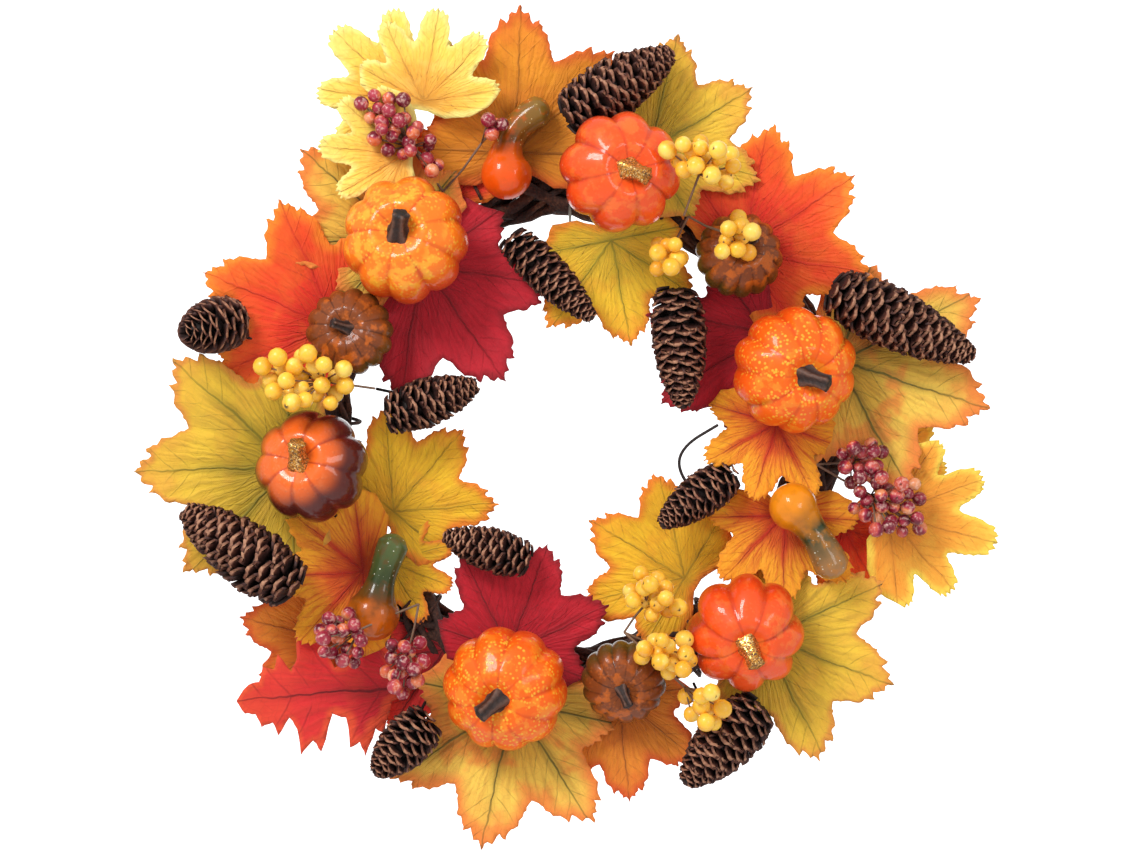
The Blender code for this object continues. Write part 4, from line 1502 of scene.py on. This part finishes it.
@dataclass(frozen=True)
class BerryFinish:
    """Size and colours of a kind of berry."""

    name: str
    slot: str
    radius: float
    stops: tuple[tuple[float, Color], ...]
    gloss: float
    stem: Color

    def dress(self) -> bpy.types.Material:
        """Berry paint that differs from berry to berry.

        Returns:
            The material.
        """
        shader = Shader(self.name, Roughness=self.gloss, Coat_Weight=0.35, Coat_Roughness=0.2,
                        Specular_IOR_Level=0.35)
        tone = shader.attribute("tone")
        tip = shader.attribute("tip")
        cloud = shader.noise(300, 3)
        color = shader.ramp(tone + (cloud - 0.5) * 0.25, list(self.stops))
        frost = shader.rise(shader.noise(520, 4), 0.50, 0.66)
        color = shader.mix(frost * (0.45 if self.slot == "berry_burgundy" else 0.10), color,
                           ink("F0C8B8"))
        color = shader.mix(shader.rise(tip, 0.90, 0.985), color, ink("3A2418"))
        shader.feed("Base Color", color)
        shader.bump(cloud, 0.0003, 0.5)
        return shader.material

    def stem_finish(self) -> bpy.types.Material:
        """Paper-wrapped wire.

        Returns:
            The material.
        """
        shader = Shader(self.name + "_stalk", Roughness=0.55)
        color = shader.mix(shader.noise(500, 2), self.stem, ink("8A6A50"))
        shader.feed("Base Color", color)
        return shader.material


YELLOW = BerryFinish("yellow_berry", "berry_yellow", 5.0, (
    (0.0, ink("F4AC24")), (0.5, ink("FFC83A")), (1.0, ink("FFDA62"))), 0.42, ink("6A4A30"))
BURGUNDY = BerryFinish("burgundy_berry", "berry_burgundy", 4.1, (
    (0.0, ink("5A0A1E")), (0.35, ink("8E1630")), (0.62, ink("B43A4A")), (0.82, ink("D8643A")),
    (1.0, ink("E8A070"))), 0.38, ink("5E463C"))


@dataclass
class Spray:
    """A berry spray that bends at its root."""

    name: str
    finish: BerryFinish
    clusters: tuple[Cluster, ...]
    seed: int

    def build(self, solids: Crowd, leaves: Crowd) -> None:
        """Scatter the berries, keep them off their neighbours and wire them to the root.

        Args:
            solids: the solid pieces.
            leaves: the leaves.
        """
        rng = random.Random(self.seed)
        root, bends = hinge_of(self.name)
        berries = bmesh.new()
        stalks = bmesh.new()
        tone_of: list[float] = []
        tip_of: list[float] = []
        taken: list[Vector] = []
        for cluster in self.clusters:
            places = self._scatter(cluster, root, rng, taken, (solids, leaves), bends)
            middle = sum((spot for spot, _ in places), Vector()) / len(places)
            fork = middle.lerp(root, 0.25) - FRONT * 0.004
            self._wire(stalks, root, fork, 0.0007, -0.010)
            for spot, size in places:
                self._berry(berries, spot, size, (spot - fork).normalized(), rng, tone_of, tip_of)
                self._wire(stalks, fork, spot, 0.0005)
        paint(berries, "tone", dict(zip(berries.verts, tone_of)))
        paint(berries, "tip", dict(zip(berries.verts, tip_of)))
        piece = make_piece(self.name + "_fruit", berries, self.finish.dress())
        stalk = make_piece(self.name + "_stalks", stalks, self.finish.stem_finish())
        settle(piece, self.name, [self.name])
        settle(stalk, self.name, [self.name])

    def _scatter(self, cluster: Cluster, root: Vector, rng: random.Random, taken: list,
                 crowds: tuple, bends: list[Matrix]) -> list[tuple[Vector, float]]:
        """Places and sizes of a bunch's berries.

        Args:
            cluster: the bunch.
            root: the spray's root.
            rng: random draws.
            taken: middles of the berries so far, which is added to.
            crowds: pieces to keep clear of.
            bends: matrices of the bends.

        Returns:
            Each berry's middle and radius.
        """
        along = heading_vector(cluster.heading)
        across = along.cross(FRONT)
        places = []
        for index in range(cluster.count):
            share = math.sqrt((index + 0.5) / cluster.count)
            angle = index * math.radians(137.508)
            spot = root + along * (cluster.reach * MM)
            spot += along * (share * math.cos(angle) * cluster.long / 2 * MM)
            spot += across * (share * math.sin(angle) * cluster.wide / 2 * MM)
            spot += FRONT * (cluster.rise * MM * (1.15 - 0.6 * share**2))
            spot += Vector([rng.uniform(-1, 1) * 0.0016 for _ in range(3)])
            size = self.finish.radius * MM * rng.uniform(0.86, 1.08)
            spot = self._clear(spot, size, crowds, bends, taken)
            if spot is not None:
                taken.append(spot)
                places.append((spot, size))
        return places

    @staticmethod
    def _clear(spot: Vector, size: float, crowds: tuple, bends: list[Matrix],
               taken: list) -> Vector | None:
        """Bring a berry forward until it touches nothing at any bend, if it can be done.

        Args:
            spot: the berry's middle.
            size: its radius.
            crowds: pieces to keep clear of.
            bends: matrices of the bends.
            taken: middles of the berries so far.

        Returns:
            The berry's new middle, or None if no free place was found.
        """
        for _ in range(36):
            close = any((spot - other).length < size * 1.9 for other in taken)
            for turn in bends:
                for crowd in crowds:
                    close = close or crowd.ready().find_nearest(turn @ spot)[3] < size + 0.0003
            if not close:
                return spot
            spot = spot + FRONT * 0.0008
        return None

    @staticmethod
    def _berry(shape: bmesh.types.BMesh, spot: Vector, size: float, out: Vector,
               rng: random.Random, tone_of: list[float], tip_of: list[float]) -> None:
        """Add one berry, with its dark tip pointing away from its stalk.

        Args:
            shape: the mesh.
            spot: its middle.
            size: its radius.
            out: the way its tip faces.
            rng: random draws.
            tone_of: tones to add to.
            tip_of: tip marks to add to.
        """
        tone = rng.random()
        turn = out.to_track_quat("Z", "Y").to_matrix().to_4x4()
        place = Matrix.Translation(spot) @ turn
        made = bmesh.ops.create_uvsphere(shape, u_segments=10, v_segments=7, radius=size,
                                         matrix=place)
        for vert in made["verts"]:
            tone_of.append(tone)
            tip_of.append((vert.co - spot).dot(out) / size)

    @staticmethod
    def _wire(shape: bmesh.types.BMesh, start: Vector, end: Vector, radius: float,
              bow: float = 0.002) -> None:
        """Add a wire that bows forward in its middle."""
        middle = (start + end) / 2 + FRONT * bow
        sweep(shape, [start, middle, end], [radius] * 3, 5)


def hook_wire() -> bpy.types.Material:
    """Dull galvanised wire.

    Returns:
        The wire finish.
    """
    shader = Shader("galvanised_wire", Metallic=0.9)
    cloud = shader.noise(700, 3)
    shader.feed("Base Color", shader.mix(cloud, ink("6E6A62"), ink("A8A49A")))
    shader.feed("Roughness", 0.3 + 0.25 * cloud)
    shader.bump(cloud, 0.0002)
    return shader.material


PUMPKINS = (
    Pumpkin("upper_left_pumpkin", "pumpkin_upper_left", 71, 9, 9, 127, "blotched", depth=0.12,
            seed=2),
    Pumpkin("top_pumpkin", "pumpkin_top", 67, 8, 12, -10, "plain", depth=0.14, seed=3),
    Pumpkin("right_pumpkin", "pumpkin_right", 70, 10, 17, 324, "speckled", depth=0.11, seed=4),
    Pumpkin("lower_right_pumpkin", "pumpkin_lower_right", 66, 8, 16, 270, "plain", depth=0.18,
            seed=5),
    Pumpkin("bottom_pumpkin", "pumpkin_bottom", 70, 10, 16, 226, "speckled", depth=0.10, seed=6),
    Pumpkin("left_pumpkin", "pumpkin_left", 63, 8, 17, 146, "heavily_shaded", depth=0.12, seed=7),
)
SMALL_PUMPKINS = (
    Pumpkin("left_brown_pumpkin", "brown_pumpkin_left", 49, 14, 8, 120, "brown", 0.72, 0.10, 8),
    Pumpkin("right_brown_pumpkin", "brown_pumpkin_right", 49, 14, 14, 56, "brown", 0.72, 0.10, 9),
    Pumpkin("bottom_brown_pumpkin", "brown_pumpkin_bottom", 48, 14, 18, 262, "brown", 0.72, 0.10,
            10),
)
STEM_BENDS = (
    (70, StemFinish.BARK, "stem_upper_left"), (330, StemFinish.GLITTER, "stem_top"),
    (340, StemFinish.BARK, "stem_right"), (300, StemFinish.GLITTER, "stem_lower_right"),
    (215, StemFinish.BARK, "stem_bottom"), (75, StemFinish.GLITTER, "stem_left"),
)
SMALL_STEM_BENDS = (165, 40, 300)
GOURDS = (
    Gourd("top_gourd", "gourd_top", 104, 8, 93, 14.2, 7.4, 44, -70, GourdSkin(
        "top_gourd_skin", ink("F0560C"), ink("D8560F"), ink("7A4412"), ink("8A6A2A"),
        ink("FFE8A0"), 0.7)),
    Gourd("lower_left_gourd", "gourd_lower_left", 223, 11, 77, 15.0, 7.5, 41, -8, GourdSkin(
        "lower_left_gourd_skin", ink("C8600F"), ink("6A3A0C"), ink("2E3A1A"), ink("5A6838"),
        ink("F0F0D8"), 1.0)),
    Gourd("right_gourd", "gourd_right", 341, -8, 310, 13.6, 8.6, 40, -16, GourdSkin(
        "right_gourd_skin", ink("EC8C14"), ink("C8780F"), ink("2C3A20"), ink("A87848"),
        ink("F0F0D8"), 0.8)),
)
CONES = (
    PineCone("cone_left", 164, 67, 200, 50, 36, 34, 62, splay=1.3),
    PineCone("cone_bottom_left", 242, 60, 225, 20, 38, 32, 48, splay=1.3),
    PineCone("cone_bottom_right", 296, 55, 224, 12, 56, 39, 34),
    PineCone("cone_inner_low", 235, -59, 163, 4, 46, 29),
    PineCone("cone_inner_left", 168, -61, 19, 8, 50, 32, 34),
    PineCone("cone_lower_left", 200, 54, 144, 4, 70, 42, 20),
    PineCone("cone_top", 82, 53, 31, 6, 64, 39, 26),
    PineCone("cone_inner_top", 97, -54, 315, 10, 63, 28, 22),
    PineCone("cone_inner_right", 37, -63, 273, 8, 62, 36, 20),
    PineCone("cone_right", 18, 54, 334, 4, 82, 40, 16),
    PineCone("cone_hanging", 332, -59, 215, 20, 50, 29, body="cone_hanging"),
)
MAPLE, OAK, CURLED, RED_OAK = LeafKind.MAPLE, LeafKind.OAK, LeafKind.CURLED, LeafKind.RED_OAK
LEAVES = (
    SilkLeaf("lower_right_leaf", MAPLE, "olive", 341, 10, "leaf_gold_lower_right", curl=5, seed=1),
    SilkLeaf("right_oak_leaf", OAK, "peach", 347, 36, "leaf_oak_right", curl=3, seed=2),
    SilkLeaf("right_leaf", MAPLE, "veined", 342, 10, "leaf_gold_right", curl=4, seed=3),
    SilkLeaf("inner_right_leaf", MAPLE, "crimson", 215, 10, "leaf_crimson_inner_right", seed=4),
    SilkLeaf("upper_right_leaf", MAPLE, "scarlet", 34, 10, "leaf_scarlet_upper_right", curl=6,
             seed=5),
    SilkLeaf("top_right_leaf", MAPLE, "olive", 32, 12, "leaf_olive_top_right", curl=5, seed=6),
    SilkLeaf("top_leaf", MAPLE, "amber", 88, 10, "leaf_amber_top", curl=4, seed=7),
    SilkLeaf("upper_left_oak_leaf", OAK, "lemon", 138, 58, "leaf_oak_upper_left", curl=3, seed=8),
    SilkLeaf("upper_left_leaf", MAPLE, "veined", 140, 10, "leaf_gold_upper_left", curl=4, seed=9),
    SilkLeaf("left_scarlet_leaf", MAPLE, "scarlet", 158, 10, "leaf_scarlet_left", curl=4, seed=10),
    SilkLeaf("left_leaf", MAPLE, "olive", 182, 10, "leaf_olive_left", curl=5, seed=11),
    SilkLeaf("inner_left_leaf", MAPLE, "sunny", 50, 16, "leaf_gold_inner_left", curl=2, seed=12),
    SilkLeaf("lower_left_oak_leaf", RED_OAK, "russet", 184, 20, "leaf_red_oak_lower_left",
             curl=5, seed=13),
    SilkLeaf("bottom_leaf", MAPLE, "veined", 258, 10, "leaf_gold_bottom", curl=5, seed=14),
    SilkLeaf("inner_low_leaf", MAPLE, "sunny", 149, 18, "leaf_gold_inner_low", curl=2, seed=15),
    SilkLeaf("low_crimson_leaf", MAPLE, "crimson", 71, 8, "leaf_crimson_low", curl=3, seed=16),
    SilkLeaf("inner_top_leaf", MAPLE, "gold", 281, 16, "leaf_gold_inner_top", curl=3, seed=17),
    SilkLeaf("inner_left_crimson_leaf", MAPLE, "crimson", 306, 8, "leaf_crimson_inner_left",
             curl=3, seed=18),
    SilkLeaf("left_curled_leaf", CURLED, "ember", 184, 8, "leaf_curled_left", curl=8, seed=19),
    SilkLeaf("lower_right_curled_leaf", CURLED, "ember", 269, 8, "leaf_curled_lower_right",
             curl=7, seed=20),
    SilkLeaf("right_curled_leaf", CURLED, "ember", 252, 14, "leaf_curled_right", curl=2, seed=21),
)
BACK_LEAVES = (
    SilkLeaf("behind_berries_leaf", MAPLE, "scarlet", 128, 8, place=(118, 8, -0.030), length=62,
             pitch=6,
             curl=4, seed=31),
    SilkLeaf("low_green_tip_leaf", MAPLE, "rust", 277, 8, place=(280, 14, -0.028), length=60,
             pitch=6,
             curl=4, seed=32),
    SilkLeaf("low_left_leaf", MAPLE, "rust", 165, 10, place=(222, 40, -0.026), length=56,
             pitch=6, curl=3,
             seed=33),
    SilkLeaf("right_small_leaf", OAK, "peach", 40, 14, place=(352, 34, -0.022), length=44, pitch=4,
             curl=3, seed=34),
    SilkLeaf("under_berries_leaf", MAPLE, "scarlet", 300, 8, place=(340, 26, -0.022), length=40,
             pitch=2,
             curl=2, seed=35),
    SilkLeaf("gap_leaf", MAPLE, "russet", 236, 8, place=(240, 4, -0.026), length=56, pitch=2,
             curl=2,
             seed=41),
    SilkLeaf("inner_left_small_leaf", OAK, "sunny", 340, 10, place=(216, -12, -0.030), length=40,
             pitch=4,
             curl=3, seed=36),
)
FRONT_LEAVES = (
    SilkLeaf("upper_left_small_oak_leaf", OAK, "lemon", 80, 40, place=(114, 62, -0.050),
             length=52, pitch=8,
             curl=4, seed=37),
    SilkLeaf("upper_left_small_leaf", OAK, "lemon", 176, 16, place=(121, 40, -0.056), length=48,
             pitch=8,
             curl=3, seed=38),
)
SPRAYS = (
    Spray("berries_burgundy_top", BURGUNDY, (
        Cluster(127, 37, 14, 62, 28, 28), Cluster(50, 44, 14, 16, 12, 4)), 31),
    Spray("berries_yellow_top", YELLOW, (Cluster(70, 30, 10, 22, 40, 17),), 32),
    Spray("berries_yellow_inner", YELLOW, (
        Cluster(242, 25, 8, 18, 20, 9), Cluster(336, 28, 10, 20, 26, 9)), 33),
    Spray("berries_yellow_left", YELLOW, (Cluster(172, 37, 10, 50, 32, 24),), 34),
    Spray("berries_burgundy_lower_left", BURGUNDY, (
        Cluster(203, 45, 10, 28, 32, 17), Cluster(259, 34, 10, 32, 24, 15)), 35),
    Spray("berries_burgundy_right", BURGUNDY, (
        Cluster(5, 25, 10, 26, 26, 15), Cluster(330, 46, 14, 42, 36, 24)), 36),
    Spray("berries_yellow_bottom", YELLOW, (
        Cluster(53, 26, 8, 22, 32, 14), Cluster(337, 25, 8, 32, 22, 15),
        Cluster(319, 60, 10, 22, 22, 10)), 37),
)


def make_studio() -> None:
    """Pale surroundings, soft lights and a long-lens camera square to the wreath."""
    world = bpy.data.worlds.new("studio")
    bpy.context.scene.world = world
    world.use_nodes = True
    world.node_tree.nodes["Background"].inputs["Color"].default_value = (1.0, 1.0, 1.0, 1.0)
    world.node_tree.nodes["Background"].inputs["Strength"].default_value = 0.66
    for name, place, size, power in (
        ("key", (-0.75, -1.2, 0.95), 0.55, 19.0),
        ("fill", (0.9, -1.3, 0.3), 0.5, 4.0),
    ):
        data = bpy.data.lights.new(name, "AREA")
        data.size = size
        data.energy = power
        lamp = bpy.data.objects.new(name, data)
        lamp.location = RING.centre + Vector(place)
        lamp.rotation_mode = "QUATERNION"
        lamp.rotation_quaternion = (RING.centre - lamp.location).to_track_quat("-Z", "Y")
        bpy.context.scene.collection.objects.link(lamp)
    shape = bmesh.new()
    bmesh.ops.create_grid(shape, x_segments=1, y_segments=1, size=6.0)
    bmesh.ops.translate(shape, vec=(0.0, 0.0, CAD_BOX[0].z - 0.9), verts=shape.verts)
    paper = Shader("paper", Roughness=0.9)
    paper.feed("Base Color", paper.mix(paper.noise(2.0, 2), (0.86, 0.86, 0.88), (0.92, 0.92, 0.93)))
    make_piece("floor", shape, paper.material, smooth=False)
    shape = bmesh.new()
    turn = Matrix.Rotation(math.pi / 2, 4, "X")
    bmesh.ops.create_grid(shape, x_segments=1, y_segments=1, size=2.2, matrix=turn)
    bmesh.ops.translate(shape, vec=RING.centre + Vector((0.0, 3.0, 0.6)), verts=shape.verts)
    screen = Shader("lit_paper", Roughness=1.0, Emission_Strength=0.95)
    cloud = screen.noise(1.5, 2)
    screen.feed("Emission Color", screen.mix(cloud, (0.97, 0.97, 0.99), (1.0, 1.0, 1.0)))
    make_piece("backdrop", shape, screen.material, smooth=False)
    camera = bpy.data.cameras.new("camera")
    camera.lens = 85.0
    camera.sensor_width = 36.0
    view_width = 0.6384
    distance = view_width * camera.lens / camera.sensor_width
    holder = bpy.data.objects.new("camera", camera)
    holder.location = (RING.centre.x, -0.05 - distance, RING.centre.z + 0.0014)
    holder.rotation_euler = (math.pi / 2, 0.0, 0.0)
    bpy.context.scene.collection.objects.link(holder)
    bpy.context.scene.camera = holder


def main() -> None:
    """Build the wreath's pieces from the back forward."""
    logging.basicConfig(level=logging.INFO, format="%(name)s: %(message)s")
    bpy.context.scene.view_settings.view_transform = "Standard"
    make_studio()
    solids = Crowd()
    leaves = Crowd()
    solids.add(Vines().build())
    for cone in CONES:
        if cone.body == BODY:
            solids.add(cone.build())
            continue
        bends = hinge_of(cone.body)[1]
        solids.add(cone.build(), bends)
        mesh = cone.guard()
        solids.take(mesh, bends)
        bpy.data.meshes.remove(mesh)
    for pumpkin, bend in zip(SMALL_PUMPKINS, SMALL_STEM_BENDS):
        solids.add(pumpkin.build())
        Stem(pumpkin.name + "_stem", pumpkin, bend, StemFinish.BARK, None, 11.0, 2.9).build()
    for gourd in GOURDS:
        solids.add(gourd.build())
    for pumpkin, (bend, finish, node) in zip(PUMPKINS, STEM_BENDS):
        solids.add(pumpkin.build())
        Stem(node + "_wood", pumpkin, bend, finish, node).build()
    for leaf in (*BACK_LEAVES, *LEAVES, *FRONT_LEAVES):
        leaf.build(solids, leaves)
    for spray in SPRAYS:
        spray.build(solids, leaves)
    wire = hook_wire()
    for node in ("hanger_tie", "hanging_loop"):
        mesh = frame["nodes"][node].data
        mesh.materials.clear()
        mesh.materials.append(wire)
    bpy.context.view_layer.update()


if __name__ == "__main__":
    main()
